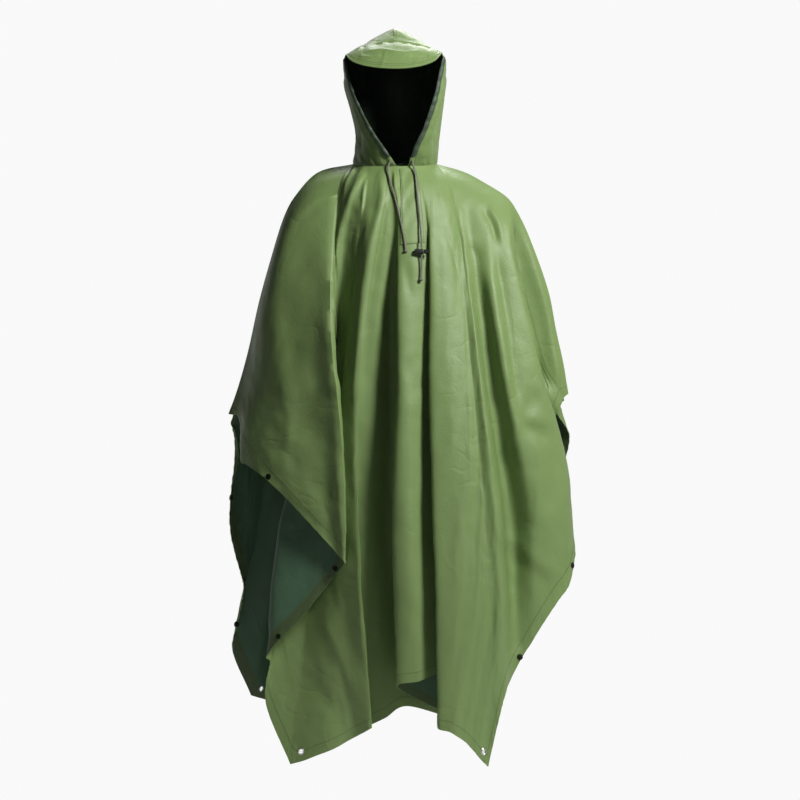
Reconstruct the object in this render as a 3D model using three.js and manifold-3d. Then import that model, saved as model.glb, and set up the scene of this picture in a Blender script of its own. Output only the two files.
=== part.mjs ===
// Hooded rain poncho, held open in the form it has when worn, with nobody inside.
// Millimetres, +Z up, the front towards -Y, the origin at the middle of the neck seam.
import * as THREE from 'three';
import { mergeVertices } from 'three/addons/utils/BufferGeometryUtils.js';
import Module from 'manifold-3d';

const wasm = await Module();
wasm.setup();

// Driving sizes
const wall = 1.6;
const seamGap = 0.3;
const edgeLength = 1110; // one side edge of one panel, from the shoulder line to the corner
const hemLength = 1440; // the lower edge of one panel
const neck = { halfWidth: 90, front: 80, back: 78, frontDrop: 8, backRise: 5, reach: 95 };
const neckYoke = { halfWidth: 118, side: 55, front: 67, back: 60, drop: 46, frontDrop: 30, backDrop: 20 };
const height = { chest: 0.36, hip: 0.7 }; // shares of the drop from the yoke to the free edge
const columnsPerFold = 2;
const rowsPerPanel = 12;
const snapPlaces = [300, 582, 830]; // along a side edge, from the shoulder line
const snapInset = 13;
const eyeletInset = 20;
const eyelet = { hole: 4.5, barrel: 5.3, flange: 8.5, rim: 0.9 };
const snap = { cap: 6.5, socket: 5.5, post: 2, rise: 1.5 };
const fittingSides = 12;
const cordDiameter = 4;
const lock = { start: 42, x: 57, y: -156.4, z: -193, body: 19, radius: 5.5, bore: 2.8, sides: 16 };
const button = { length: 11, radius: 4.6 };
const knotRadius = 3.8;
const casing = { width: 10, wall: 1.2, rows: 13 };
const placket = { wall: 1.2, columns: [44.4, 45, 46, 47, 48], rows: [0.3, 1, 2, 3, 4] };
const stripGap = 0.7;
const flangeGap = 0.4;

// The line over the shoulders and down both arms, in the plane of the wearer's sides. at is the
// distance along the cut from the middle of the neck; the yoke point lies on the front panel a
// hand's width below the line.
const shoulderLine = [
  { at: -720, x: -359, z: -540, yokeX: -349, yokeY: -5, yokeZ: -541 },
  { at: -640, x: -338, z: -480, yokeX: -322, yokeY: -45, yokeZ: -506 },
  { at: -540, x: -316, z: -400, yokeX: -303, yokeY: -62, yokeZ: -436 },
  { at: -440, x: -294, z: -300, yokeX: -287, yokeY: -74, yokeZ: -346 },
  { at: -340, x: -268, z: -205, yokeX: -266, yokeY: -76, yokeZ: -252 },
  { at: -270, x: -241, z: -118, yokeX: -242, yokeY: -70, yokeZ: -170 },
  { at: -220, x: -216, z: -70, yokeX: -219, yokeY: -64, yokeZ: -122 },
  { at: -160, x: -166, z: -18, yokeX: -172, yokeY: -60, yokeZ: -72 },
  { at: -95, x: -90, z: 0, yokeX: -118, yokeY: -55, yokeZ: -46 },
  { at: 95, x: 90, z: 0, yokeX: 118, yokeY: -55, yokeZ: -46 },
  { at: 150, x: 149, z: -17, yokeX: 154, yokeY: -60, yokeZ: -70 },
  { at: 205, x: 198, z: -43, yokeX: 197, yokeY: -64, yokeZ: -98 },
  { at: 256, x: 241, z: -71, yokeX: 236, yokeY: -66, yokeZ: -125 },
  { at: 300, x: 263, z: -101, yokeX: 252, yokeY: -60, yokeZ: -150 },
  { at: 355, x: 289, z: -155, yokeX: 266, yokeY: -40, yokeZ: -192 },
  { at: 477, x: 331, z: -273, yokeX: 302, yokeY: -30, yokeZ: -305 },
  { at: 564, x: 348, z: -359, yokeX: 322, yokeY: -26, yokeZ: -388 },
  { at: 640, x: 364, z: -432, yokeX: 338, yokeY: -24, yokeZ: -452 },
  { at: 720, x: 374, z: -496, yokeX: 364, yokeY: -6, yokeZ: -505 },
];

// Folds of the front panel from the wearer's right to left. top is where a fold leaves the
// shoulder line or neck, rim is where it meets the free edge, measured round the cut from the
// side end of the shoulder line. Chest and hip are its places on the way down.
const frontFolds = [
  { top: -720, rim: 60, chestX: -336, chestY: -12, hipX: -323, hipY: -20, endX: -310, endY: -30, endZ: -538 },
  { top: -690, rim: 150, chestX: -331, chestY: -46, hipX: -332, hipY: -60, endX: -331, endY: -68, endZ: -634 },
  { top: -650, rim: 200, chestX: -323, chestY: -74, hipX: -319, hipY: -90, endX: -316, endY: -96, endZ: -649 },
  { top: -600, rim: 285, chestX: -306, chestY: -94, hipX: -292, hipY: -118, endX: -280, endY: -134, endZ: -673 },
  { top: -500, rim: 370, chestX: -272, chestY: -118, hipX: -250, hipY: -148, endX: -226, endY: -162, endZ: -725 },
  { top: -380, rim: 450, chestX: -235, chestY: -138, hipX: -202, hipY: -168, endX: -166, endY: -186, endZ: -789 },
  { top: -250, rim: 515, chestX: -184, chestY: -150, hipX: -154, hipY: -182, endX: -126, endY: -194, endZ: -832 },
  { top: -92, rim: 555, chestX: -138, chestY: -168, hipX: -114, hipY: -200, endX: -106, endY: -206, endZ: -854 },
  { top: -86, rim: 575, chestX: -132, chestY: -142, hipX: -118, hipY: -170, endX: -112, endY: -178, endZ: -862 },
  { top: -78, rim: 730, chestX: -136, chestY: -126, hipX: -168, hipY: -144, endX: -180, endY: -164, endZ: -950 },
  { top: -66, rim: 885, chestX: -140, chestY: -116, hipX: -240, hipY: -120, endX: -270, endY: -136, endZ: -1050 },
  { top: -54, rim: 915, chestX: -134, chestY: -100, hipX: -234, hipY: -96, endX: -268, endY: -108, endZ: -1074 },
  { top: -44, rim: 1000, chestX: -124, chestY: -106, hipX: -214, hipY: -92, endX: -276, endY: -108, endZ: -1160 },
  { top: -38, rim: 1110, chestX: -116, chestY: -122, hipX: -180, hipY: -110, endX: -224, endY: -126, endZ: -1288 },
  { top: -32, rim: 1200, chestX: -118, chestY: -128, hipX: -146, hipY: -138, endX: -140, endY: -156, endZ: -1258 },
  { top: -24, rim: 1290, chestX: -108, chestY: -160, hipX: -112, hipY: -166, endX: -92, endY: -158, endZ: -1232 },
  { top: -12, rim: 1370, chestX: -80, chestY: -184, hipX: -74, hipY: -190, endX: -50, endY: -178, endZ: -1208 },
  { top: -9, rim: 1400, chestX: -85, chestY: -152, hipX: -82, hipY: -158, endX: -57, endY: -148, endZ: -1206 },
  { top: -6, rim: 1470, chestX: -46, chestY: -146, hipX: -44, hipY: -148, endX: -20, endY: -140, endZ: -1188 },
  { top: -3, rim: 1540, chestX: -6, chestY: -128, hipX: -6, hipY: -126, endX: 24, endY: -124, endZ: -1164 },
  { top: -1, rim: 1640, chestX: 28, chestY: -134, hipX: 50, hipY: -126, endX: 110, endY: -116, endZ: -1186 },
  { top: 1, rim: 1680, chestX: 24, chestY: -156, hipX: 46, hipY: -154, endX: 108, endY: -146, endZ: -1178 },
  { top: 4, rim: 1830, chestX: 4, chestY: -188, hipX: -6, hipY: -214, endX: 6, endY: -206, endZ: -1120 },
  { top: 18, rim: 1890, chestX: 34, chestY: -196, hipX: 34, hipY: -226, endX: 52, endY: -222, endZ: -1106 },
  { top: 30, rim: 1940, chestX: 74, chestY: -168, hipX: 80, hipY: -190, endX: 94, endY: -196, endZ: -1092 },
  { top: 33, rim: 2030, chestX: 96, chestY: -150, hipX: 124, hipY: -160, endX: 172, endY: -170, endZ: -1100 },
  { top: 36, rim: 2060, chestX: 94, chestY: -174, hipX: 122, hipY: -188, endX: 170, endY: -196, endZ: -1112 },
  { top: 40, rim: 2190, chestX: 74, chestY: -202, hipX: 84, hipY: -238, endX: 92, endY: -240, endZ: -1196 },
  { top: 52, rim: 2260, chestX: 112, chestY: -208, hipX: 124, hipY: -246, endX: 120, endY: -250, endZ: -1214 },
  { top: 64, rim: 2380, chestX: 146, chestY: -200, hipX: 168, hipY: -238, endX: 156, endY: -236, endZ: -1240 },
  { top: 80, rim: 2550, chestX: 168, chestY: -194, hipX: 202, hipY: -228, endX: 198, endY: -206, endZ: -1288 },
  { top: 110, rim: 2730, chestX: 184, chestY: -190, hipX: 226, hipY: -222, endX: 232, endY: -204, endZ: -1144 },
  { top: 150, rim: 2790, chestX: 203, chestY: -150, hipX: 249, hipY: -142, endX: 256, endY: -156, endZ: -1090 },
  { top: 200, rim: 2880, chestX: 230, chestY: -166, hipX: 290, hipY: -160, endX: 301, endY: -152, endZ: -1012 },
  { top: 235, rim: 2980, chestX: 258, chestY: -146, hipX: 326, hipY: -146, endX: 345, endY: -138, endZ: -944 },
  { top: 262, rim: 3070, chestX: 300, chestY: -116, hipX: 366, hipY: -108, endX: 376, endY: -112, endZ: -896 },
  { top: 290, rim: 3160, chestX: 290, chestY: -76, hipX: 362, hipY: -62, endX: 385, endY: -72, endZ: -812 },
  { top: 350, rim: 3290, chestX: 282, chestY: -40, hipX: 332, hipY: -42, endX: 352, endY: -14, endZ: -704 },
  { top: 470, rim: 3420, chestX: 312, chestY: -34, hipX: 322, hipY: -26, endX: 334, endY: -16, endZ: -612 },
  { top: 600, rim: 3530, chestX: 332, chestY: -28, hipX: 337, hipY: -22, endX: 340, endY: -12, endZ: -562 },
  { top: 720, rim: 3600, chestX: 360, chestY: -12, hipX: 355, hipY: -16, endX: 350, endY: -20, endZ: -536 },
];
const frontCorners = [13, 30];

// Folds of the back panel, in the same order and with the same columns.
const backFolds = [
  { top: -720, rim: 60, chestX: -354, chestY: 28, hipX: -348, hipY: 36, endX: -343, endY: 44, endZ: -590 },
  { top: -690, rim: 160, chestX: -350, chestY: 42, hipX: -345, hipY: 54, endX: -340, endY: 62, endZ: -640 },
  { top: -640, rim: 270, chestX: -342, chestY: 58, hipX: -348, hipY: 60, endX: -356, endY: 52, endZ: -712 },
  { top: -560, rim: 390, chestX: -326, chestY: 82, hipX: -342, hipY: 84, endX: -357, endY: 72, endZ: -800 },
  { top: -470, rim: 510, chestX: -308, chestY: 104, hipX: -324, hipY: 116, endX: -336, endY: 118, endZ: -888 },
  { top: -380, rim: 640, chestX: -288, chestY: 128, hipX: -310, hipY: 140, endX: -331, endY: 146, endZ: -924 },
  { top: -290, rim: 800, chestX: -260, chestY: 148, hipX: -302, hipY: 168, endX: -345, endY: 172, endZ: -1000 },
  { top: -210, rim: 950, chestX: -224, chestY: 156, hipX: -292, hipY: 184, endX: -356, endY: 176, endZ: -1060 },
  { top: -150, rim: 1110, chestX: -182, chestY: 158, hipX: -252, hipY: 184, endX: -315, endY: 180, endZ: -1157 },
  { top: -92, rim: 1220, chestX: -142, chestY: 190, hipX: -204, hipY: 228, endX: -246, endY: 236, endZ: -1180 },
  { top: -70, rim: 1330, chestX: -112, chestY: 142, hipX: -158, hipY: 132, endX: -198, endY: 124, endZ: -1186 },
  { top: -50, rim: 1440, chestX: -78, chestY: 188, hipX: -112, hipY: 226, endX: -138, endY: 244, endZ: -1192 },
  { top: -30, rim: 1550, chestX: -46, chestY: 146, hipX: -70, hipY: 134, endX: -92, endY: 126, endZ: -1184 },
  { top: -10, rim: 1660, chestX: -16, chestY: 196, hipX: -24, hipY: 238, endX: -36, endY: 250, endZ: -1176 },
  { top: 12, rim: 1770, chestX: 14, chestY: 146, hipX: 20, hipY: 130, endX: 20, endY: 120, endZ: -1172 },
  { top: 32, rim: 1880, chestX: 44, chestY: 186, hipX: 62, hipY: 224, endX: 70, endY: 240, endZ: -1186 },
  { top: 54, rim: 2000, chestX: 76, chestY: 142, hipX: 108, hipY: 128, endX: 126, endY: 118, endZ: -1190 },
  { top: 76, rim: 2140, chestX: 112, chestY: 186, hipX: 150, hipY: 220, endX: 164, endY: 232, endZ: -1178 },
  { top: 110, rim: 2290, chestX: 150, chestY: 146, hipX: 186, hipY: 132, endX: 198, endY: 118, endZ: -1162 },
  { top: 160, rim: 2550, chestX: 188, chestY: 160, hipX: 228, hipY: 172, endX: 222, endY: 136, endZ: -1146 },
  { top: 220, rim: 2710, chestX: 226, chestY: 150, hipX: 264, hipY: 162, endX: 262, endY: 160, endZ: -1056 },
  { top: 290, rim: 2860, chestX: 256, chestY: 118, hipX: 290, hipY: 104, endX: 296, endY: 88, endZ: -960 },
  { top: 380, rim: 3020, chestX: 290, chestY: 134, hipX: 324, hipY: 146, endX: 336, endY: 138, endZ: -860 },
  { top: 470, rim: 3190, chestX: 316, chestY: 94, hipX: 338, hipY: 82, endX: 346, endY: 66, endZ: -760 },
  { top: 560, rim: 3330, chestX: 336, chestY: 70, hipX: 352, hipY: 76, endX: 362, endY: 74, endZ: -664 },
  { top: 630, rim: 3440, chestX: 350, chestY: 50, hipX: 364, hipY: 54, endX: 378, endY: 54, endZ: -589 },
  { top: 685, rim: 3540, chestX: 356, chestY: 36, hipX: 354, hipY: 36, endX: 352, endY: 38, endZ: -540 },
  { top: 720, rim: 3600, chestX: 366, chestY: 24, hipX: 360, hipY: 27, endX: 356, endY: 30, endZ: -520 },
];
const backCorners = [8, 19];

// The hood in sections from the neck up over the crown to the visor seam: where each section
// starts at the face edge, its widest point at the side, and where it meets the middle seam. round
// is 2 where the section over the crown is an ellipse and 1 where it is a straight slope.
const hoodLeft = [
  { faceX: 5, faceY: -80, faceZ: -8, sideX: -90, sideY: 0, sideZ: 0, seamY: 78, seamZ: 5, round: 2 },
  { faceX: -24, faceY: -92, faceZ: 34, sideX: -84, sideY: -2, sideZ: 40, seamY: 104, seamZ: 56, round: 2 },
  { faceX: -50, faceY: -100, faceZ: 72, sideX: -85, sideY: 0, sideZ: 82, seamY: 124, seamZ: 122, round: 2 },
  { faceX: -71, faceY: -104, faceZ: 112, sideX: -95, sideY: -6, sideZ: 122, seamY: 120, seamZ: 190, round: 1.9 },
  { faceX: -88, faceY: -102, faceZ: 150, sideX: -105, sideY: -20, sideZ: 162, seamY: 84, seamZ: 252, round: 1.7 },
  { faceX: -99, faceY: -98, faceZ: 188, sideX: -110, sideY: -48, sideZ: 198, seamY: 24, seamZ: 289, round: 1.35 },
  { faceX: -106, faceY: -95, faceZ: 212, sideX: -110, sideY: -66, sideZ: 224, seamY: -40, seamZ: 289, round: 1.2 },
  { faceX: -108, faceY: -95, faceZ: 222, sideX: -106, sideY: -80, sideZ: 236, seamY: -84, seamZ: 262, round: 1.5 },
];
const hoodRight = [
  { faceX: 28, faceY: -76, faceZ: -7, sideX: 90, sideY: 0, sideZ: 0, seamY: 78, seamZ: 5, round: 2 },
  { faceX: 42, faceY: -92, faceZ: 34, sideX: 95, sideY: -2, sideZ: 40, seamY: 104, seamZ: 56, round: 2 },
  { faceX: 60, faceY: -100, faceZ: 72, sideX: 97, sideY: 0, sideZ: 82, seamY: 124, seamZ: 122, round: 2 },
  { faceX: 74, faceY: -104, faceZ: 112, sideX: 103, sideY: -6, sideZ: 122, seamY: 120, seamZ: 190, round: 1.9 },
  { faceX: 86, faceY: -102, faceZ: 150, sideX: 107, sideY: -20, sideZ: 162, seamY: 84, seamZ: 252, round: 1.7 },
  { faceX: 94, faceY: -98, faceZ: 188, sideX: 110, sideY: -48, sideZ: 198, seamY: 24, seamZ: 289, round: 1.35 },
  { faceX: 100, faceY: -95, faceZ: 214, sideX: 109, sideY: -66, sideZ: 226, seamY: -40, seamZ: 289, round: 1.2 },
  { faceX: 104, faceY: -95, faceZ: 226, sideX: 102, sideY: -80, sideZ: 240, seamY: -84, seamZ: 262, round: 1.5 },
];

// Routes of the two ends of the hood's drawcord, from the foot of each casing down the front.
const rightCord = [
  [37.2, -82.5, 4.9], [38.6, -84.3, -3.5], [42, -88.5, -14], [44, -98.5, -29], [46, -111, -49], [48.5, -125, -74],
  [51, -132.5, -100], [54, -141, -130], [56.5, -149.5, -158], [57, -154.6, -176], [57, -156.4, -185],
  [57, -156.4, -201], [57, -157, -212], [57, -159, -230], [56, -162.4, -250],
];
const leftCord = [
  [-9.3, -86.2, 3.7], [-12.5, -87.6, -3], [-15, -92.5, -14.5], [-13, -102, -30], [-9, -113, -46], [-4, -122, -62],
  [1, -128, -80], [6, -133, -100], [11, -140, -122], [16, -147, -145], [20, -152, -166], [23, -156, -188],
];

const faceColumns = 4; // from the face edge to the side
const crownColumns = 7; // from the side to the middle seam
const crownStart = faceColumns / (faceColumns + crownColumns);
const hoodRowsPerSection = 2;
const visor = { reach: 70, frontZ: 202, tip: 8, rise: 9, columns: 14, rows: 4 };

const rad = THREE.MathUtils.degToRad;
const vec = (x, y, z) => new THREE.Vector3(x, y, z);

// Smooth value between rows of a table: a cubic through the rows, straight on each side of a
// sharp row.
function smooth(keys, values, key, sharp = []) {
  const last = keys.length - 1;
  let i = 0;
  while (i < last - 1 && key > keys[i + 1]) i += 1;
  const slope = (a, b) => (values[b] - values[a]) / (keys[b] - keys[a]);
  const from = i === 0 || sharp.includes(i) ? slope(i, i + 1) : slope(i - 1, i + 1);
  const to = i + 1 === last || sharp.includes(i + 1) ? slope(i, i + 1) : slope(i, i + 2);
  const span = keys[i + 1] - keys[i];
  const t = (key - keys[i]) / span;
  const s = 1 - t;
  return (1 + 2 * t) * s * s * values[i] + t * s * s * span * from
    + t * t * (3 - 2 * t) * values[i + 1] - t * t * s * span * to;
}

const column = (table, name) => table.map((row) => row[name]);

// Point of the neck seam; the angle is measured from the front, positive to +X.
function neckPoint(angle) {
  const [sin, cos] = [Math.sin(angle), Math.cos(angle)];
  return vec(neck.halfWidth * sin, -cos * (cos > 0 ? neck.front : neck.back),
    -cos * (cos > 0 ? neck.frontDrop : neck.backRise));
}

// Point, yoke point and edge normal at a distance along the top line. side is -1 for the front
// panel and 1 for the back panel.
function topLine(at, side) {
  if (Math.abs(at) <= neck.reach) {
    const turn = rad((at / neck.reach) * 90);
    const [sin, cos] = [Math.sin(turn), Math.cos(turn)];
    const front = side < 0;
    return {
      point: neckPoint(front ? turn : Math.PI - turn),
      yoke: vec(neckYoke.halfWidth * sin,
        side * (neckYoke.side + (front ? neckYoke.front : neckYoke.back) * cos),
        -neckYoke.drop - (front ? neckYoke.frontDrop : neckYoke.backDrop) * cos),
      normal: vec(0, 0, 1),
    };
  }
  const half = shoulderLine.filter((row) => Math.sign(row.at) === Math.sign(at));
  const keys = column(half, 'at');
  const read = (name, place = at) => smooth(keys, column(half, name), place);
  const point = vec(read('x'), 0, read('z'));
  const along = vec(read('x', at + 1) - read('x', at - 1), 0, read('z', at + 1) - read('z', at - 1));
  return {
    point: point.setY((side * seamGap) / 2),
    yoke: vec(read('yokeX'), -side * read('yokeY'), read('yokeZ')),
    normal: vec(-along.z, 0, along.x).normalize(),
  };
}

// A panel is a fan of folds: surface(f, u) runs from fold to fold with f and down a fold with u.
function makePanel(folds, corners, side) {
  const keys = folds.map((_, i) => i);
  const read = (name, f, sharp) => smooth(keys, column(folds, name), f, sharp);
  const straight = (name, f) => {
    const i = Math.min(Math.floor(f), folds.length - 2);
    return THREE.MathUtils.lerp(folds[i][name], folds[i + 1][name], f - i);
  };
  const curve = (f) => {
    const top = topLine(straight('top', f), side);
    const end = vec(read('endX', f, corners), read('endY', f, corners), read('endZ', f, corners));
    const level = (share) => THREE.MathUtils.lerp(top.yoke.z, end.z, share);
    return new THREE.CatmullRomCurve3([
      top.point, top.yoke,
      vec(read('chestX', f), read('chestY', f), level(height.chest)),
      vec(read('hipX', f), read('hipY', f), level(height.hip)),
      end,
    ]);
  };
  const foldAt = (rim) => {
    const i = folds.findIndex((row) => row.rim > rim) - 1;
    return i + (rim - folds[i].rim) / (folds[i + 1].rim - folds[i].rim);
  };
  return { folds, side, curve, straight, foldAt };
}

// Grid of points and outward normals over a panel.
function panelGrid(panel) {
  const columns = (panel.folds.length - 1) * columnsPerFold;
  const points = [];
  for (let i = 0; i <= columns; i += 1) {
    const curve = panel.curve(i / columnsPerFold);
    points.push(Array.from({ length: rowsPerPanel + 1 }, (_, j) => curve.getPoint(j / rowsPerPanel)));
  }
  const normals = gridNormals(points, -panel.side);
  for (let i = 0; i <= columns; i += 1) {
    normals[i][0] = topLine(panel.straight('top', i / columnsPerFold), panel.side).normal;
  }
  return { points, normals };
}

// Normals of a grid from its neighbours; turn is 1 where down x across points outwards.
function gridNormals(points, turn) {
  const last = points.length - 1;
  const end = points[0].length - 1;
  return points.map((line, i) => line.map((_, j) => {
    const across = points[Math.min(i + 1, last)][j].clone().sub(points[Math.max(i - 1, 0)][j]);
    const down = points[i][Math.min(j + 1, end)].clone().sub(points[i][Math.max(j - 1, 0)]);
    return down.cross(across).normalize().multiplyScalar(turn);
  }));
}

// Closed wall of even thickness about a grid of points.
function shell(points, normals, thickness, lift = 0) {
  const columns = points.length;
  const rows = points[0].length;
  const positions = [];
  for (const offset of [thickness / 2, -thickness / 2]) {
    points.forEach((line, i) => line.forEach((point, j) => {
      const place = point.clone().addScaledVector(normals[i][j], lift + offset);
      positions.push(place.x, place.y, place.z);
    }));
  }
  const inner = columns * rows;
  const at = (i, j) => i * rows + j;
  const faces = [];
  const quad = (a, b, c, d) => faces.push(a, b, c, a, c, d);
  for (let i = 0; i < columns - 1; i += 1) {
    for (let j = 0; j < rows - 1; j += 1) {
      quad(at(i, j), at(i, j + 1), at(i + 1, j + 1), at(i + 1, j));
      quad(inner + at(i, j), inner + at(i + 1, j), inner + at(i + 1, j + 1), inner + at(i, j + 1));
    }
  }
  const rim = [];
  for (let j = 0; j < rows - 1; j += 1) rim.push(at(0, j));
  for (let i = 0; i < columns - 1; i += 1) rim.push(at(i, rows - 1));
  for (let j = rows - 1; j > 0; j -= 1) rim.push(at(columns - 1, j));
  for (let i = columns - 1; i > 0; i -= 1) rim.push(at(i, 0));
  rim.forEach((a, k) => {
    const b = rim[(k + 1) % rim.length];
    quad(b, a, inner + a, inner + b);
  });
  const geometry = new THREE.BufferGeometry();
  geometry.setAttribute('position', new THREE.Float32BufferAttribute(positions, 3));
  geometry.setIndex(faces);
  return facingOut(geometry);
}

function solidOf(geometry) {
  const bare = geometry.clone();
  bare.deleteAttribute('normal');
  bare.deleteAttribute('uv');
  const merged = mergeVertices(bare, 1e-4);
  return new wasm.Manifold(new wasm.Mesh({
    numProp: 3,
    vertProperties: merged.getAttribute('position').array,
    triVerts: new Uint32Array(merged.index.array),
  }));
}

function geometryOf(solid) {
  const mesh = solid.getMesh();
  const geometry = new THREE.BufferGeometry();
  geometry.setAttribute('position', new THREE.BufferAttribute(mesh.vertProperties, 3));
  geometry.setIndex(new THREE.BufferAttribute(mesh.triVerts, 1));
  return geometry;
}

// Turns a closed geometry so that its faces point outwards.
function facingOut(geometry) {
  const bare = geometry.clone();
  bare.deleteAttribute('normal');
  bare.deleteAttribute('uv');
  const merged = mergeVertices(bare, 1e-4);
  const place = merged.getAttribute('position');
  const index = merged.index.array;
  let volume = 0;
  for (let k = 0; k < index.length; k += 3) {
    const [a, b, c] = [0, 1, 2].map((n) => vec().fromBufferAttribute(place, index[k + n]));
    volume += a.dot(b.cross(c));
  }
  if (volume < 0) {
    for (let k = 0; k < index.length; k += 3) [index[k], index[k + 1]] = [index[k + 1], index[k]];
  }
  return merged;
}

// Materials
const cloth = (color, roughness = 0.5) => new THREE.MeshStandardMaterial({ color, roughness, metalness: 0 });
const olive = cloth(0x5f7a4a);
const cordGrey = cloth(0x8d9084, 0.8);
const blackPlastic = cloth(0x10140f, 0.4);
const steel = new THREE.MeshStandardMaterial({ color: 0xb9bab4, roughness: 0.35, metalness: 1 });
const darkMetal = new THREE.MeshStandardMaterial({ color: 0x23281f, roughness: 0.45, metalness: 0.8 });

const group = new THREE.Group();

function addPiece(name, geometry, material) {
  const piece = new THREE.Mesh(geometry, material.clone());
  piece.name = name;
  group.add(piece);
  return piece;
}

// Place and outward direction on the faceted cloth, near the free edge of a panel.
function edgeSpot(panel, grid, rim, inset) {
  const i = Math.min(Math.floor(panel.foldAt(rim) * columnsPerFold), grid.points.length - 2);
  const [left, right] = [grid.points[i], grid.points[i + 1]];
  const [above, edge] = [rowsPerPanel - 1, rowsPerPanel].map((j) => left[j].clone().lerp(right[j], 0.5));
  const normal = right[rowsPerPanel].clone().sub(left[rowsPerPanel - 1])
    .cross(right[rowsPerPanel - 1].clone().sub(left[rowsPerPanel]))
    .normalize().multiplyScalar(-panel.side);
  const share = Math.min(inset / edge.distanceTo(above), 0.5);
  return { place: edge.lerp(above, share), normal };
}

const upright = vec(0, 1, 0);

function lathe(profile, sides) {
  return facingOut(new THREE.LatheGeometry(profile.map(([r, h]) => new THREE.Vector2(r, h)), sides));
}

function placed(geometry, spot) {
  const turn = new THREE.Quaternion().setFromUnitVectors(upright, spot.normal);
  return geometry.clone().applyQuaternion(turn).translate(spot.place.x, spot.place.y, spot.place.z);
}

const face = wall / 2 + flangeGap; // height of a flange's underside over the middle of the cloth
const eyeletShape = lathe([
  [eyelet.hole, -face - eyelet.rim], [eyelet.flange, -face - eyelet.rim], [eyelet.flange, -face],
  [eyelet.barrel, -face], [eyelet.barrel, face], [eyelet.flange, face],
  [eyelet.flange, face + eyelet.rim], [eyelet.hole, face + eyelet.rim], [eyelet.hole, -face - eyelet.rim],
], fittingSides);
const snapShape = lathe([
  [0, -face - snap.rise], [snap.socket, -face - snap.rise], [snap.socket, -face], [snap.post, -face],
  [snap.post, face], [snap.cap, face], [snap.cap * 0.7, face + snap.rise], [0, face + snap.rise],
], fittingSides);

// Room that a fitting needs in the cloth: its hole, and clear faces under its flanges.
function fittingRoom(hole, flange, spot) {
  const reach = 3 * face;
  const seat = wall / 2 + 0.2;
  const bore = new THREE.CylinderGeometry(hole + seamGap, hole + seamGap, 2 * reach, fittingSides);
  let room = solidOf(placed(bore, spot));
  for (const end of [1, -1]) {
    const disc = new THREE.CylinderGeometry(flange + seamGap, flange + seamGap, reach - seat, fittingSides);
    disc.translate(0, (end * (reach + seat)) / 2, 0);
    room = room.add(solidOf(placed(disc, spot)));
  }
  return room;
}

function makeClothPanel(name, panel, label) {
  const grid = panelGrid(panel);
  let solid = solidOf(shell(grid.points, grid.normals, wall));
  const fittings = [];
  for (const [hand, mirrored] of [['left', false], ['right', true]]) {
    snapPlaces.forEach((place, n) => {
      const rim = mirrored ? 2 * edgeLength + hemLength - place : place;
      fittings.push({ title: `snap_${label}_${hand}_${n + 1}`, rim, inset: snapInset, kind: 'snap' });
    });
    fittings.push({
      title: `eyelet_${label}_${hand}`,
      rim: mirrored ? edgeLength + hemLength - eyeletInset : edgeLength + eyeletInset,
      inset: eyeletInset,
      kind: 'eyelet',
    });
  }
  for (const fitting of fittings) {
    const spot = edgeSpot(panel, grid, fitting.rim, fitting.inset);
    const isSnap = fitting.kind === 'snap';
    solid = solid.subtract(isSnap
      ? fittingRoom(snap.post, snap.cap, spot)
      : fittingRoom(eyelet.barrel, eyelet.flange, spot));
    const piece = addPiece(fitting.title, isSnap ? snapShape : eyeletShape, isSnap ? darkMetal : steel);
    piece.position.copy(spot.place);
    piece.quaternion.setFromUnitVectors(upright, spot.normal);
  }
  addPiece(name, geometryOf(solid.simplify(0.02)), olive);
  return grid;
}

const front = makePanel(frontFolds, frontCorners, -1);
const back = makePanel(backFolds, backCorners, 1);
const frontGrid = makeClothPanel('front_panel', front, 'front');
makeClothPanel('back_panel', back, 'back');

// Hood
function hoodPoint(table, m, c) {
  const keys = table.map((_, i) => i);
  const read = (name) => smooth(keys, column(table, name), m);
  const faceEdge = vec(read('faceX'), read('faceY'), read('faceZ'));
  const side = vec(read('sideX'), read('sideY'), read('sideZ'));
  const seam = vec(0, read('seamY'), read('seamZ'));
  if (c <= crownStart) {
    const round = 0.55;
    const bend = vec(THREE.MathUtils.lerp(faceEdge.x, side.x, round), faceEdge.y,
      THREE.MathUtils.lerp(faceEdge.z, side.z, 0.3));
    const cheek = vec(side.x, THREE.MathUtils.lerp(side.y, faceEdge.y, round),
      THREE.MathUtils.lerp(side.z, faceEdge.z, 0.3));
    return new THREE.CubicBezierCurve3(faceEdge, bend, cheek, side).getPoint(c / crownStart);
  }
  const turn = rad(((c - crownStart) / (1 - crownStart)) * 90);
  const power = 2 / read('round');
  const centre = vec(0, side.y, side.z);
  return centre.clone()
    .addScaledVector(side.clone().sub(centre), Math.max(Math.cos(turn), 0) ** power)
    .addScaledVector(seam.sub(centre), Math.sin(turn) ** power);
}

function hoodNormal(table, m, c, hand) {
  const step = 0.02;
  const last = table.length - 1;
  const across = hoodPoint(table, m, Math.min(c + step, 1)).sub(hoodPoint(table, m, Math.max(c - step, 0)));
  const up = hoodPoint(table, Math.min(m + step, last), c).sub(hoodPoint(table, Math.max(m - step, 0), c));
  return up.cross(across).normalize().multiplyScalar(-hand);
}

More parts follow.
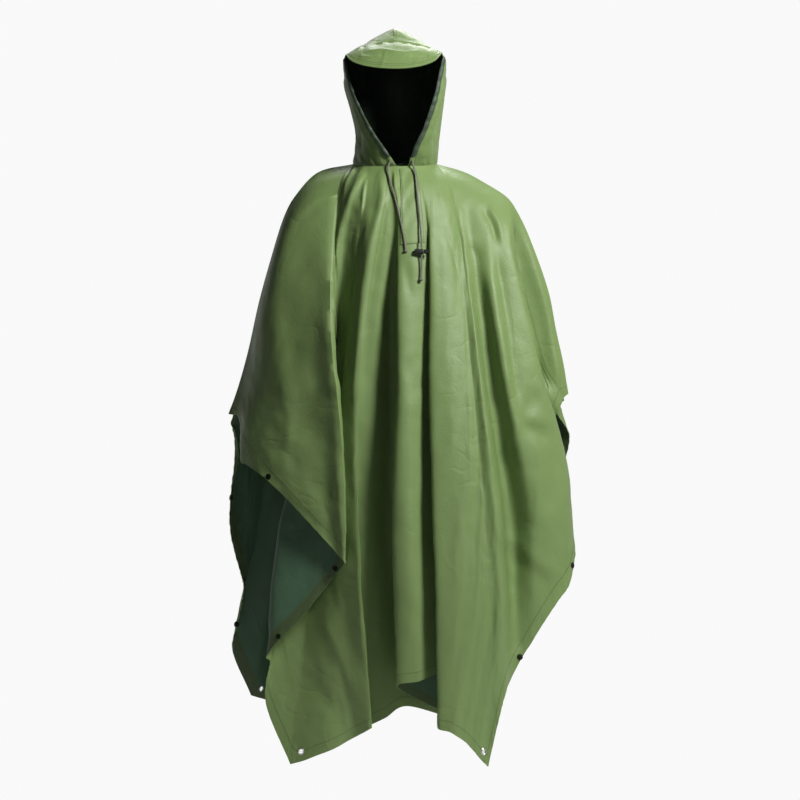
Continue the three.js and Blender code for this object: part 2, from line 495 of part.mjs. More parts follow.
function hoodGrid(table, hand) {
  const rows = (table.length - 1) * hoodRowsPerSection;
  const columns = faceColumns + crownColumns;
  const points = [];
  const normals = [];
  for (let i = 0; i <= columns; i += 1) {
    const c = i / columns;
    const lineOfPoints = [];
    const lineOfNormals = [];
    for (let j = 0; j <= rows; j += 1) {
      const m = j / hoodRowsPerSection;
      const point = hoodPoint(table, m, c);
      const normal = hoodNormal(table, m, c, hand);
      if (i === columns) {
        point.x = (hand * seamGap) / 2;
        normal.setX(0).normalize();
      }
      if (j === 0) {
        const startAngle = Math.atan2(table[0].faceX, -table[0].faceY * (neck.halfWidth / neck.front));
        const quarter = (hand * Math.PI) / 2;
        const angle = c <= crownStart
          ? THREE.MathUtils.lerp(startAngle, quarter, c / crownStart)
          : THREE.MathUtils.lerp(quarter, 2 * quarter, (c - crownStart) / (1 - crownStart));
        point.copy(neckPoint(angle)).add(vec(0, 0, wall / 2 + seamGap));
        if (i === columns) point.x = (hand * seamGap) / 2;
        normal.set(point.x, point.y, 0).normalize();
        if (i === columns) normal.set(0, 1, 0);
      }
      lineOfPoints.push(point);
      lineOfNormals.push(normal);
    }
    points.push(lineOfPoints);
    normals.push(lineOfNormals);
  }
  return { points, normals };
}

const hoodGrids = {};
for (const [name, table, hand] of [['left', hoodLeft, -1], ['right', hoodRight, 1]]) {
  const grid = hoodGrid(table, hand);
  hoodGrids[name] = grid;
  addPiece(`hood_${name}`, shell(grid.points, grid.normals, wall), olive);
}

// Visor: from the last section of both hood halves to a curved front edge.
function visorGrid() {
  const points = [];
  const normals = [];
  const last = hoodLeft.length - 1;
  for (let i = 0; i <= visor.columns; i += 1) {
    const a = (2 * i) / visor.columns - 1;
    const table = a < 0 ? hoodLeft : hoodRight;
    const hand = a < 0 ? -1 : 1;
    const c = 1 - Math.abs(a) * (1 - crownStart);
    const seam = hoodPoint(table, last, c);
    const ahead = seam.clone().sub(hoodPoint(table, last - 0.05, c)).normalize();
    const tip = hoodPoint(table, last, crownStart).addScaledVector(ahead, visor.tip);
    const swell = Math.cos((a * Math.PI) / 2);
    const edge = vec(tip.x * Math.sin(Math.abs(a) * Math.PI / 2),
      tip.y - visor.tip / 2 - visor.reach * swell,
      THREE.MathUtils.lerp(tip.z, visor.frontZ, swell ** 1.3));
    const line = [];
    for (let j = 0; j <= visor.rows; j += 1) {
      const b = j / visor.rows;
      const point = seam.clone().addScaledVector(ahead, seamGap).lerp(edge, b);
      point.z += visor.rise * Math.sin(Math.PI * b) * swell;
      line.push(point);
    }
    points.push(line);
    const normal = hoodNormal(table, last, c, hand);
    if (i * 2 === visor.columns) normal.setX(0).normalize();
    normals.push([normal]);
  }
  const open = gridNormals(points, 1);
  return { points, normals: open.map((line, i) => [normals[i][0], ...line.slice(1)]) };
}
const visorCloth = visorGrid();
addPiece('hood_visor', shell(visorCloth.points, visorCloth.normals, wall), olive);

// A strip that lies on a piece of cloth: its own points are the cloth's, moved out. Rows are places
// in the cloth's grid, and so is what each column gives for a row.
function layStrip(grid, columns, rows, thickness) {
  const read = (lines, i, j) => {
    const [a, b] = [Math.min(Math.floor(i), lines.length - 2), Math.min(Math.floor(j), lines[0].length - 2)];
    const low = lines[a][b].clone().lerp(lines[a][b + 1], j - b);
    return low.lerp(lines[a + 1][b].clone().lerp(lines[a + 1][b + 1], j - b), i - a);
  };
  const points = columns.map((place) => rows.map((j) => read(grid.points, place(j), j)));
  const normals = columns.map((place) => rows.map((j) => read(grid.normals, place(j), j).normalize()));
  return shell(points, normals, thickness, wall / 2 + stripGap + thickness / 2);
}

for (const name of ['left', 'right']) {
  const grid = hoodGrids[name];
  const across = (share) => (j) => {
    const row = Math.min(Math.floor(j), grid.points[0].length - 1);
    return share * Math.min(casing.width / grid.points[0][row].distanceTo(grid.points[1][row]), 1);
  };
  const rows = Array.from({ length: casing.rows }, (_, j) => Math.max(j, 0.6));
  addPiece(`casing_${name}`, layStrip(grid, [across(0), across(0.5), across(1)], rows, casing.wall), olive);
}

const placketColumns = placket.columns.map((place) => () => place);
addPiece('neck_placket', layStrip(frontGrid, placketColumns, placket.rows, placket.wall), olive);

// Drawcord ends, each with a knot
function cordGeometry(route) {
  const radius = cordDiameter / 2;
  const section = new THREE.Shape();
  section.absarc(0, 0, radius, 0, 2 * Math.PI);
  const path = new THREE.CatmullRomCurve3(route.map((place) => vec(...place)));
  return facingOut(new THREE.ExtrudeGeometry(section, {
    steps: 2 * route.length, curveSegments: 4, extrudePath: path, bevelEnabled: false,
  }));
}

for (const [name, route] of [['right', rightCord], ['left', leftCord]]) {
  addPiece(`drawcord_${name}`, cordGeometry(route), cordGrey);
  const [before, end] = route.slice(-2).map((place) => vec(...place));
  const onward = end.clone().sub(before).normalize();
  const centre = end.addScaledVector(onward, knotRadius + seamGap);
  const ball = facingOut(new THREE.SphereGeometry(knotRadius, 10, 6));
  addPiece(`drawcord_${name}_knot`, ball, cordGrey).position.copy(centre);
}

// Spring toggle on the right cord: a drum that the cord goes through, and its button
function toggleDrum(start, length, radius) {
  const drum = new THREE.CylinderGeometry(radius, radius, length, lock.sides).rotateZ(Math.PI / 2);
  return solidOf(drum.translate(start + length / 2, lock.y, lock.z));
}
const bore = new THREE.CylinderGeometry(lock.bore, lock.bore, 4 * lock.radius, fittingSides)
  .rotateX(Math.PI / 2).translate(lock.x, lock.y, lock.z);
addPiece('cord_lock_body',
  geometryOf(toggleDrum(lock.start, lock.body, lock.radius).subtract(solidOf(bore))), blackPlastic);
addPiece('cord_lock_button',
  geometryOf(toggleDrum(lock.start + lock.body + seamGap, button.length, button.radius)), blackPlastic);

export default group;
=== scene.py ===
# Rain poncho: cloth, hood, drawcord and fittings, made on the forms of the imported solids.
# Tables, routes and sizes are in millimetres, as in the part's source. Meshes are in metres.
import math

import bpy
import numpy as np
from mathutils import Matrix, Vector


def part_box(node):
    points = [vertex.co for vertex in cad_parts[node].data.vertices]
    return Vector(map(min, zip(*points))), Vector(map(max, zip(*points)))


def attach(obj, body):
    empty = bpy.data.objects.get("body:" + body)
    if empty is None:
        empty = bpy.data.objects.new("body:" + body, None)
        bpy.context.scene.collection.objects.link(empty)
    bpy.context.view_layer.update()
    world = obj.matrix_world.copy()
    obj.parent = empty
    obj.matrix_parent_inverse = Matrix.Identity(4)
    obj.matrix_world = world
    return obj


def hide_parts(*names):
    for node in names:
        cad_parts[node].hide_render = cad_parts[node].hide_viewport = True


mm = 0.001
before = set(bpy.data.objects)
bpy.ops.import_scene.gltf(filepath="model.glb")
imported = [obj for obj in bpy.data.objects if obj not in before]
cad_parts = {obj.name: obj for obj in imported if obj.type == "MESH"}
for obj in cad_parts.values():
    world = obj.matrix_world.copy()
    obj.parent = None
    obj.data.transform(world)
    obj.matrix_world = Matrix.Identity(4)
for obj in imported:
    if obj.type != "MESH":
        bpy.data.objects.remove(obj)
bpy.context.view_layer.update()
bpy.ops.object.select_all(action="DESELECT")
bpy.context.scene.view_settings.view_transform = "Standard"

# Camera: level and far off, as in the picture
view = {"distance": 12.0, "across": 0.011, "height": -0.5095, "pictureWidth": 1.72, "pictureDepth": 0.06,
        "sensor": 36.0}


def makeCamera():
    data = bpy.data.cameras.new("picture_camera")
    data.sensor_width = view["sensor"]
    data.lens = view["sensor"] * (view["distance"] - view["pictureDepth"]) / view["pictureWidth"]
    data.clip_end = 60
    camera = bpy.data.objects.new("picture_camera", data)
    bpy.context.collection.objects.link(camera)
    camera.location = (view["across"], -view["distance"], view["height"])
    camera.rotation_euler = (math.radians(90), 0, 0)
    bpy.context.scene.camera = camera


makeCamera()
print("camera placed")


# Shader maths: a wrapped socket takes part in plain expressions
class Pin:
    def __init__(self, finish, socket):
        self.finish = finish
        self.socket = socket

    def maths(self, operation, *values):
        return self.finish.add("Math", {"operation": operation}, dict(enumerate(values)))

    def __add__(self, other):
        return self.maths("ADD", self, other)

    def __radd__(self, other):
        return self.maths("ADD", other, self)

    def __sub__(self, other):
        return self.maths("SUBTRACT", self, other)

    def __rsub__(self, other):
        return self.maths("SUBTRACT", other, self)

    def __mul__(self, other):
        return self.maths("MULTIPLY", self, other)

    def __rmul__(self, other):
        return self.maths("MULTIPLY", other, self)

    def __truediv__(self, other):
        return self.maths("DIVIDE", self, other)

    def __pow__(self, other):
        return self.maths("POWER", self, other)

    def __lt__(self, other):
        return self.maths("LESS_THAN", self, other)

    def __gt__(self, other):
        return self.maths("GREATER_THAN", self, other)

    def __abs__(self):
        return self.maths("ABSOLUTE", self)


class Finish:
    def __init__(self, name):
        self.material = bpy.data.materials.new(name)
        self.material.use_nodes = True
        self.tree = self.material.node_tree
        self.tree.nodes.clear()

    def add(self, kind, settings=None, sockets=None, out=0):
        node = self.tree.nodes.new("ShaderNode" + kind)
        for key, value in (settings or {}).items():
            if key == "stops":
                ramp = node.color_ramp.elements
                while len(ramp) < len(value):
                    ramp.new(0.5)
                for element, (place, colour) in zip(ramp, value):
                    element.position = place
                    element.color = (*colour, 1)
            else:
                setattr(node, key, value)
        for key, value in (sockets or {}).items():
            if isinstance(value, Pin):
                self.tree.links.new(value.socket, node.inputs[key])
            else:
                node.inputs[key].default_value = (*value, 1) if self.isColour(node.inputs[key], value) else value
        return Pin(self, node.outputs[out]) if node.outputs else None

    def isColour(self, socket, value):
        return socket.type == "RGBA" and len(value) == 3

    def mix(self, factor, first, second):
        return self.add("Mix", {"data_type": "RGBA"}, {0: factor, 6: first, 7: second}, out=2)

    def grain(self, where, scale, detail=2.0, rough=0.5, stretch=(1, 1, 1)):
        stretched = self.add("VectorMath", {"operation": "MULTIPLY"}, {0: where, 1: stretch})
        return self.add("TexNoise", None,
                        {"Vector": stretched, "Scale": scale, "Detail": detail, "Roughness": rough})

    # thin lines where a soft pattern passes its middle, kept only in some places
    def creaseLines(self, where, scale, stretch, sharpness, maskScale):
        pattern = self.grain(where, scale, 1.5, 0.5, stretch)
        line = self.clip(1 - abs(pattern - 0.5) * sharpness)
        return line * line * self.clip(self.grain(where, maskScale, 1) * 7 - 3.4)

    def clip(self, value):
        return self.add("Clamp", None, {0: value})

    def sine(self, value):
        return value.maths("SINE", value)

    def shade(self, colour, rough, height=None, **constants):
        sockets = {"Base Color": colour, "Roughness": rough}
        sockets.update({key.replace("_", " "): value for key, value in constants.items()})
        if height is not None:
            sockets["Normal"] = self.add("Bump", None, {"Strength": 1.0, "Distance": 1.0, "Height": height})
        surface = self.add("BsdfPrincipled", None, sockets)
        self.add("OutputMaterial", None, {"Surface": surface})
        return self.material


# Cloth forms: the same named sizes and tables as the part's source
wall = 1.6
seamGap = 0.3
cut = {"edge": 1110, "hem": 1440, "halfWidth": 720}
neck = {"halfWidth": 90, "front": 80, "back": 78, "frontDrop": 8, "backRise": 5, "reach": 95}
neckYoke = {"halfWidth": 118, "side": 55, "front": 67, "back": 60, "drop": 46, "frontDrop": 30, "backDrop": 20}
height = {"chest": 0.36, "hip": 0.7}
frontCorners = (13, 30)
backCorners = (8, 19)
snapPlaces = (300, 582, 830)
snapInset = 13
eyeletInset = 20


def table(names, rows):
    return {name: np.array(values, float) for name, values in zip(names.split(), zip(*rows))}


shoulderLine = table("at x z yokeX yokeY yokeZ", [
    (-720, -359, -540, -349, -5, -541),
    (-640, -338, -480, -322, -45, -506),
    (-540, -316, -400, -303, -62, -436),
    (-440, -294, -300, -287, -74, -346),
    (-340, -268, -205, -266, -76, -252),
    (-270, -241, -118, -242, -70, -170),
    (-220, -216, -70, -219, -64, -122),
    (-160, -166, -18, -172, -60, -72),
    (-95, -90, 0, -118, -55, -46),
    (95, 90, 0, 118, -55, -46),
    (150, 149, -17, 154, -60, -70),
    (205, 198, -43, 197, -64, -98),
    (256, 241, -71, 236, -66, -125),
    (300, 263, -101, 252, -60, -150),
    (355, 289, -155, 266, -40, -192),
    (477, 331, -273, 302, -30, -305),
    (564, 348, -359, 322, -26, -388),
    (640, 364, -432, 338, -24, -452),
    (720, 374, -496, 364, -6, -505),
])
frontFolds = table("top rim chestX chestY hipX hipY endX endY endZ", [
    (-720, 60, -336, -12, -323, -20, -310, -30, -538),
    (-690, 150, -331, -46, -332, -60, -331, -68, -634),
    (-650, 200, -323, -74, -319, -90, -316, -96, -649),
    (-600, 285, -306, -94, -292, -118, -280, -134, -673),
    (-500, 370, -272, -118, -250, -148, -226, -162, -725),
    (-380, 450, -235, -138, -202, -168, -166, -186, -789),
    (-250, 515, -184, -150, -154, -182, -126, -194, -832),
    (-92, 555, -138, -168, -114, -200, -106, -206, -854),
    (-86, 575, -132, -142, -118, -170, -112, -178, -862),
    (-78, 730, -136, -126, -168, -144, -180, -164, -950),
    (-66, 885, -140, -116, -240, -120, -270, -136, -1050),
    (-54, 915, -134, -100, -234, -96, -268, -108, -1074),
    (-44, 1000, -124, -106, -214, -92, -276, -108, -1160),
    (-38, 1110, -116, -122, -180, -110, -224, -126, -1288),
    (-32, 1200, -118, -128, -146, -138, -140, -156, -1258),
    (-24, 1290, -108, -160, -112, -166, -92, -158, -1232),
    (-12, 1370, -80, -184, -74, -190, -50, -178, -1208),
    (-9, 1400, -85, -152, -82, -158, -57, -148, -1206),
    (-6, 1470, -46, -146, -44, -148, -20, -140, -1188),
    (-3, 1540, -6, -128, -6, -126, 24, -124, -1164),
    (-1, 1640, 28, -134, 50, -126, 110, -116, -1186),
    (1, 1680, 24, -156, 46, -154, 108, -146, -1178),
    (4, 1830, 4, -188, -6, -214, 6, -206, -1120),
    (18, 1890, 34, -196, 34, -226, 52, -222, -1106),
    (30, 1940, 74, -168, 80, -190, 94, -196, -1092),
    (33, 2030, 96, -150, 124, -160, 172, -170, -1100),
    (36, 2060, 94, -174, 122, -188, 170, -196, -1112),
    (40, 2190, 74, -202, 84, -238, 92, -240, -1196),
    (52, 2260, 112, -208, 124, -246, 120, -250, -1214),
    (64, 2380, 146, -200, 168, -238, 156, -236, -1240),
    (80, 2550, 168, -194, 202, -228, 198, -206, -1288),
    (110, 2730, 184, -190, 226, -222, 232, -204, -1144),
    (150, 2790, 203, -150, 249, -142, 256, -156, -1090),
    (200, 2880, 230, -166, 290, -160, 301, -152, -1012),
    (235, 2980, 258, -146, 326, -146, 345, -138, -944),
    (262, 3070, 300, -116, 366, -108, 376, -112, -896),
    (290, 3160, 290, -76, 362, -62, 385, -72, -812),
    (350, 3290, 282, -40, 332, -42, 352, -14, -704),
    (470, 3420, 312, -34, 322, -26, 334, -16, -612),
    (600, 3530, 332, -28, 337, -22, 340, -12, -562),
    (720, 3600, 360, -12, 355, -16, 350, -20, -536),
])
backFolds = table("top rim chestX chestY hipX hipY endX endY endZ", [
    (-720, 60, -354, 28, -348, 36, -343, 44, -590),
    (-690, 160, -350, 42, -345, 54, -340, 62, -640),
    (-640, 270, -342, 58, -348, 60, -356, 52, -712),
    (-560, 390, -326, 82, -342, 84, -357, 72, -800),
    (-470, 510, -308, 104, -324, 116, -336, 118, -888),
    (-380, 640, -288, 128, -310, 140, -331, 146, -924),
    (-290, 800, -260, 148, -302, 168, -345, 172, -1000),
    (-210, 950, -224, 156, -292, 184, -356, 176, -1060),
    (-150, 1110, -182, 158, -252, 184, -315, 180, -1157),
    (-92, 1220, -142, 190, -204, 228, -246, 236, -1180),
    (-70, 1330, -112, 142, -158, 132, -198, 124, -1186),
    (-50, 1440, -78, 188, -112, 226, -138, 244, -1192),
    (-30, 1550, -46, 146, -70, 134, -92, 126, -1184),
    (-10, 1660, -16, 196, -24, 238, -36, 250, -1176),
    (12, 1770, 14, 146, 20, 130, 20, 120, -1172),
    (32, 1880, 44, 186, 62, 224, 70, 240, -1186),
    (54, 2000, 76, 142, 108, 128, 126, 118, -1190),
    (76, 2140, 112, 186, 150, 220, 164, 232, -1178),
    (110, 2290, 150, 146, 186, 132, 198, 118, -1162),
    (160, 2550, 188, 160, 228, 172, 222, 136, -1146),
    (220, 2710, 226, 150, 264, 162, 262, 160, -1056),
    (290, 2860, 256, 118, 290, 104, 296, 88, -960),
    (380, 3020, 290, 134, 324, 146, 336, 138, -860),
    (470, 3190, 316, 94, 338, 82, 346, 66, -760),
    (560, 3330, 336, 70, 352, 76, 362, 74, -664),
    (630, 3440, 350, 50, 364, 54, 378, 54, -589),
    (685, 3540, 356, 36, 354, 36, 352, 38, -540),
    (720, 3600, 366, 24, 360, 27, 356, 30, -520),
])
hoodLeft = table("faceX faceY faceZ sideX sideY sideZ seamY seamZ round", [
    (5, -80, -8, -90, 0, 0, 78, 5, 2),
    (-24, -92, 34, -84, -2, 40, 104, 56, 2),
    (-50, -100, 72, -85, 0, 82, 124, 122, 2),
    (-71, -104, 112, -95, -6, 122, 120, 190, 1.9),
    (-88, -102, 150, -105, -20, 162, 84, 252, 1.7),
    (-99, -98, 188, -110, -48, 198, 24, 289, 1.35),
    (-106, -95, 212, -110, -66, 224, -40, 289, 1.2),
    (-108, -95, 222, -106, -80, 236, -84, 262, 1.5),
])
hoodRight = table("faceX faceY faceZ sideX sideY sideZ seamY seamZ round", [
    (28, -76, -7, 90, 0, 0, 78, 5, 2),
    (42, -92, 34, 95, -2, 40, 104, 56, 2),
    (60, -100, 72, 97, 0, 82, 124, 122, 2),
    (74, -104, 112, 103, -6, 122, 120, 190, 1.9),
    (86, -102, 150, 107, -20, 162, 84, 252, 1.7),
    (94, -98, 188, 110, -48, 198, 24, 289, 1.35),
    (100, -95, 214, 109, -66, 226, -40, 289, 1.2),
    (104, -95, 226, 102, -80, 240, -84, 262, 1.5),
])


# Cubic through the rows of a table, straight on each side of a sharp row
def smoothAt(keys, values, place, sharp=()):
    place = np.asarray(place, float)
    last = len(keys) - 1
    i = np.clip(np.searchsorted(keys, place) - 1, 0, last - 1)
    chord = np.diff(values) / np.diff(keys)
    middle = np.empty(last + 1)
    middle[1:-1] = (values[2:] - values[:-2]) / (keys[2:] - keys[:-2])
    middle[0], middle[-1] = chord[0], chord[-1]
    isSharp = np.isin(np.arange(last + 1), [0, last, *sharp])
    start = np.where(isSharp[i], chord[i], middle[i])
    stop = np.where(isSharp[i + 1], chord[i], middle[i + 1])
    span = keys[i + 1] - keys[i]
    t = (place - keys[i]) / span
    s = 1 - t
    return ((1 + 2 * t) * s * s * values[i] + t * s * s * span * start
            + t * t * (3 - 2 * t) * values[i + 1] - t * t * s * span * stop)


def step(low, high, value):
    t = np.clip((value - low) / (high - low), 0, 1)
    return t * t * (3 - 2 * t)


def unit(vectors):
    return vectors / np.maximum(np.linalg.norm(vectors, axis=-1, keepdims=True), 1e-9)


def neckPoint(angle):
    sin, cos = np.sin(angle), np.cos(angle)
    reach = np.where(cos > 0, neck["front"], neck["back"])
    drop = np.where(cos > 0, neck["frontDrop"], neck["backRise"])
    return np.stack([neck["halfWidth"] * sin, -cos * reach, -cos * drop], -1)


# Seam point, yoke point and seam normal at distances along the top line; side is -1 for the front
def topLine(at, side):
    isFront = side < 0
    turn = np.radians(np.clip(at / neck["reach"], -1, 1) * 90)
    sin, cos = np.sin(turn), np.cos(turn)
    reach, drop = [neckYoke[("front" if isFront else "back") + word] for word in ("", "Drop")]
    point = neckPoint(turn if isFront else math.pi - turn)
    yoke = np.stack([neckYoke["halfWidth"] * sin, side * (neckYoke["side"] + reach * cos),
                     -neckYoke["drop"] - drop * cos], -1)
    normal = np.zeros_like(point) + (0, 0, 1)
    for hand in (-1, 1):
        rows = np.sign(shoulderLine["at"]) == hand
        beyond = at * hand > neck["reach"]
        there = at[beyond]

        def read(name, place):
            return smoothAt(shoulderLine["at"][rows], shoulderLine[name][rows], place)

        point[beyond] = np.stack([read("x", there), 0 * there + side * 0.05, read("z", there)], -1)
        yoke[beyond] = np.stack([read("yokeX", there), -side * read("yokeY", there), read("yokeZ", there)], -1)
        run, fall = [read(name, there + 1) - read(name, there - 1) for name in ("x", "z")]
        normal[beyond] = unit(np.stack([-fall, 0 * run, run], -1))
    return point, yoke, normal


# Curves through five guide points each, as the part's fold lines: result is [curve, place, xyz]
def alongCurves(guides, places):
    spans = len(guides) - 1
    ends = [2 * guides[:1] - guides[1:2], guides, 2 * guides[-1:] - guides[-2:-1]]
    p = np.concatenate(ends)
    points = np.empty((guides.shape[1], len(places), 3))
    scaled = places * spans
    for k in range(spans):
        gaps = [np.maximum(np.sum((p[k + n + 1] - p[k + n]) ** 2, -1, keepdims=True) ** 0.25, 1e-3)
                for n in range(3)]
        a, b, c = gaps
        leave = ((p[k + 1] - p[k]) / a - (p[k + 2] - p[k]) / (a + b) + (p[k + 2] - p[k + 1]) / b) * b
        arrive = ((p[k + 2] - p[k + 1]) / b - (p[k + 3] - p[k + 1]) / (b + c) + (p[k + 3] - p[k + 2]) / c) * b
        here = np.clip(np.floor(scaled), 0, spans - 1) == k
        t = (scaled[here] - k)[None, :, None]
        first, second, leave, arrive = [v[:, None] for v in (p[k + 1], p[k + 2], leave, arrive)]
        points[:, here] = (first + leave * t + (3 * (second - first) - 2 * leave - arrive) * t ** 2
                           + (2 * (first - second) + leave + arrive) * t ** 3)
    return points


# Soft uneven pattern from -1 to 1 over flat cloth
def grain(u, v, seed):
    turns = np.random.default_rng(seed).uniform(0, 2 * math.pi, (256, 256))
    i, j = np.floor(u).astype(int), np.floor(v).astype(int)
    fu, fv = u - i, v - j

    def corner(a, b):
        turn = turns[(i + a) % 256, (j + b) % 256]
        return np.cos(turn) * (fu - a) + np.sin(turn) * (fv - b)

    su, sv = [f ** 3 * (f * (f * 6 - 15) + 10) for f in (fu, fv)]
    low = corner(0, 0) * (1 - su) + corner(1, 0) * su
    high = corner(0, 1) * (1 - su) + corner(1, 1) * su
    return (low * (1 - sv) + high * sv) * 1.45


# Crisp uneven creases over flat cloth: thin lines that come and go, in one main direction
def crumple(u, v, size, direction, stretch, seed):
    turn = math.radians(direction)
    across = (u * math.cos(turn) + v * math.sin(turn)) / size
    along = (v * math.cos(turn) - u * math.sin(turn)) / (size * stretch)
    wander = grain(across * 0.7, along * 0.7, seed + 1)
    line = np.abs(grain(across + wander * 0.5, along, seed))
    shown = step(0.0, 0.5, grain(across * 0.45 + 7, along * 0.6 + 3, seed + 2))
    return np.exp(-line / 0.07) * shown


# Height of listed creases at places seen from the front or back. steep is 1 for a sharp drop to
# the right of a line drawn downwards, -1 to the left of it and 0 for even flanks.
def placedCreases(creases, x, z):
    total = np.zeros_like(x)
    for name, rise, width, steep, line in creases:
        span = np.full_like(x, width)
        nearest = np.full_like(x, 1e9)
        share = np.zeros_like(x)
        steps = [math.dist(a, b) for a, b in zip(line, line[1:])]
        gone = 0
        for (ax, az), (bx, bz), length in zip(line, line[1:], steps):
            t = np.clip(((x - ax) * (bx - ax) + (z - az) * (bz - az)) / length ** 2, 0, 1)
            away = np.hypot(x - ax - t * (bx - ax), z - az - t * (bz - az))
            closer = away < nearest
            nearest = np.where(closer, away, nearest)
            toRight = np.sign((bx - ax) * (z - az) - (bz - az) * (x - ax))
            span = np.where(closer, np.where(toRight == steep, width * 0.35, width), span)
            share = np.where(closer, (gone + t * length) / sum(steps), share)
            gone += length
        ends = step(0, 0.18, share) * step(0, 0.18, 1 - share)
        total += rise * ends * np.exp(-((nearest / span) ** 2 + 0.09) ** 0.5 * 1.5 + 0.45)
    return total


# Evens out a grid of heights a little, so that slanting creases don't show its steps
def soften(field):
    for axis in (0, 1):
        ends = [(1, 1) if k == axis else (0, 0) for k in (0, 1)]
        padded = np.pad(field, ends, mode="edge")
        first, last = [np.take(padded, range(k, k + field.shape[axis]), axis) for k in (0, 2)]
        field = (first + 2 * field + last) / 4
    return field


def gridNormals(points, turn):
    across = np.gradient(points, axis=0)
    down = np.gradient(points, axis=1)
    return unit(np.cross(down, across)) * turn


# Closed cloth of two faces about a grid of points. Attributes are read by the finishes.
def clothObject(name, points, normals, thickness, finishes, flat, edge, skip=(), lift=0.0):
    columns, rows = points.shape[:2]
    count = columns * rows
    half = np.broadcast_to(np.asarray(thickness, float) / 2, (columns, rows))[..., None]
    middle = points + normals * np.broadcast_to(np.asarray(lift, float), (columns, rows))[..., None]
    outer, inner = middle + normals * half, middle - normals * half
    vertices = np.concatenate([outer.reshape(-1, 3), inner.reshape(-1, 3)]) * mm
    index = np.arange(count).reshape(columns, rows)
    kept = np.ones((columns - 1, rows - 1), bool)
    for i, j in skip:
        kept[i, j] = False
    corners = [index[:-1, :-1], index[:-1, 1:], index[1:, 1:], index[1:, :-1]]
    outside = np.stack([corner[kept] for corner in corners], -1)
    if np.sum(gridNormals(points, 1) * normals) < 0:
        outside = outside[:, ::-1]
    sides = np.concatenate([outside[:, [k, (k + 1) % 4]] for k in range(4)])
    isFree = ~np.isin(sides[:, 0] * count + sides[:, 1], sides[:, 1] * count + sides[:, 0])
    start, stop = sides[isFree].T
    rim = np.stack([stop, start, start + count, stop + count], -1)
    faces = np.concatenate([outside, outside[:, ::-1] + count, rim])
    mesh = bpy.data.meshes.new(name)
    mesh.from_pydata(vertices.tolist(), [], faces.tolist())
    for finish in finishes:
        mesh.materials.append(finish)
    slots = np.zeros(len(faces), int)
    slots[len(outside):2 * len(outside)] = len(finishes) - 1
    mesh.polygons.foreach_set("material_index", slots)
    both = np.concatenate([edge.ravel(), edge.ravel()])
    mesh.attributes.new("edge", "FLOAT", "POINT").data.foreach_set("value", both * mm)
    flatBoth = np.concatenate([flat.reshape(-1, 2), flat.reshape(-1, 2)]) * mm
    layer = mesh.uv_layers.new(name="cloth")
    layer.data.foreach_set("uv", flatBoth[faces.ravel()].ravel())
    return finishObject(name, mesh)


def finishObject(name, mesh):
    mesh.validate()
    mesh.update()
    piece = bpy.data.objects.new(name, mesh)
    bpy.context.collection.objects.link(piece)
    bpy.ops.object.select_all(action="DESELECT")
    piece.select_set(True)
    bpy.context.view_layer.objects.active = piece
    bpy.ops.object.shade_smooth_by_angle(angle=math.radians(55))
    piece.select_set(False)
    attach(piece, "root")
    return piece


# Finishes
def clothHeight(f, uv, place):
    # slow swells, sparse sharp creases in two sizes, fine crinkles and the weave, in metres
    swell = f.grain(place, 9, 3) * 0.0022
    wide = f.creaseLines(place, 9, (1, 1, 0.4), 12, 5) * 0.0006
    small = f.creaseLines(place, 19, (0.7, 0.7, 1), 9, 9) * 0.0005
    fine = abs(f.grain(place, 110, 3, 0.55) - 0.5) * 0.0007
    parts = f.add("SeparateXYZ", None, {0: uv})
    across, along = parts, Pin(f, parts.socket.node.outputs[1])
    weave = f.sine(across * 5200) * f.sine(along * 5200)
    return swell + wide - small - fine + weave * 0.000012


olive = {"light": (0.176, 0.258, 0.096), "deep": (0.136, 0.210, 0.070), "rough": 0.52}
teal = {"light": (0.075, 0.150, 0.085), "deep": (0.045, 0.100, 0.055), "rough": 0.5}
hemWidth = 0.021


def makeOutsideFinish():
    f = Finish("olive_coated_cloth")
    uv = f.add("UVMap", {"uv_map": "cloth"})
    place = f.add("TexCoord", out=3)
    edge = f.add("Attribute", {"attribute_name": "edge"}, out=2)
    tone = f.grain(place, 5, 4, 0.6)
    colour = f.mix(tone, olive["deep"], olive["light"])
    seamLine = abs(edge - hemWidth + 0.0015) < 0.0009
    colour = f.mix(seamLine * 0.35, colour, (0.04, 0.07, 0.025))
    rough = olive["rough"] + (f.grain(place, 40, 2) - 0.5) * 0.16
    return f.shade(colour, rough, clothHeight(f, uv, place), Specular_IOR_Level=0.34)


def makeInsideFinish(name, tint):
    f = Finish(name)
    uv = f.add("UVMap", {"uv_map": "cloth"})
    place = f.add("TexCoord", out=3)
    edge = f.add("Attribute", {"attribute_name": "edge"}, out=2)
    tone = f.grain(place, 6, 4, 0.6)
    coating = f.mix(tone, tint["deep"], tint["light"])
    turned = f.mix(tone, (0.055, 0.085, 0.032), (0.075, 0.115, 0.045))
    colour = f.mix(edge < hemWidth, coating, turned)
    return f.shade(colour, tint["rough"] + tone * 0.1, clothHeight(f, uv, place))


def makeCordFinish():
    f = Finish("braided_cord")
    uv = f.add("UVMap", {"uv_map": "cloth"})
    parts = f.add("SeparateXYZ", None, {0: uv})
    along, around = parts, Pin(f, parts.socket.node.outputs[1])
    lay = f.sine(along * 2600 + around * 25.1327) * f.sine(along * 2600 - around * 25.1327)
    # The colour follows the lay's height. It is darker in the braid's grooves and lighter on the strands' crowns,
    # as painted shade along with the bump.
    colour = f.mix(lay * 0.5 + 0.5, (0.085, 0.090, 0.068), (0.26, 0.265, 0.215))
    return f.shade(colour, 0.72, lay * 0.0003)


def makePlasticFinish():
    f = Finish("black_plastic")
    place = f.add("TexCoord", out=3)
    speck = f.grain(place, 900, 2)
    colour = f.mix(speck, (0.008, 0.010, 0.009), (0.020, 0.024, 0.021))
    return f.shade(colour, 0.34 + speck * 0.12, speck * 0.00005)


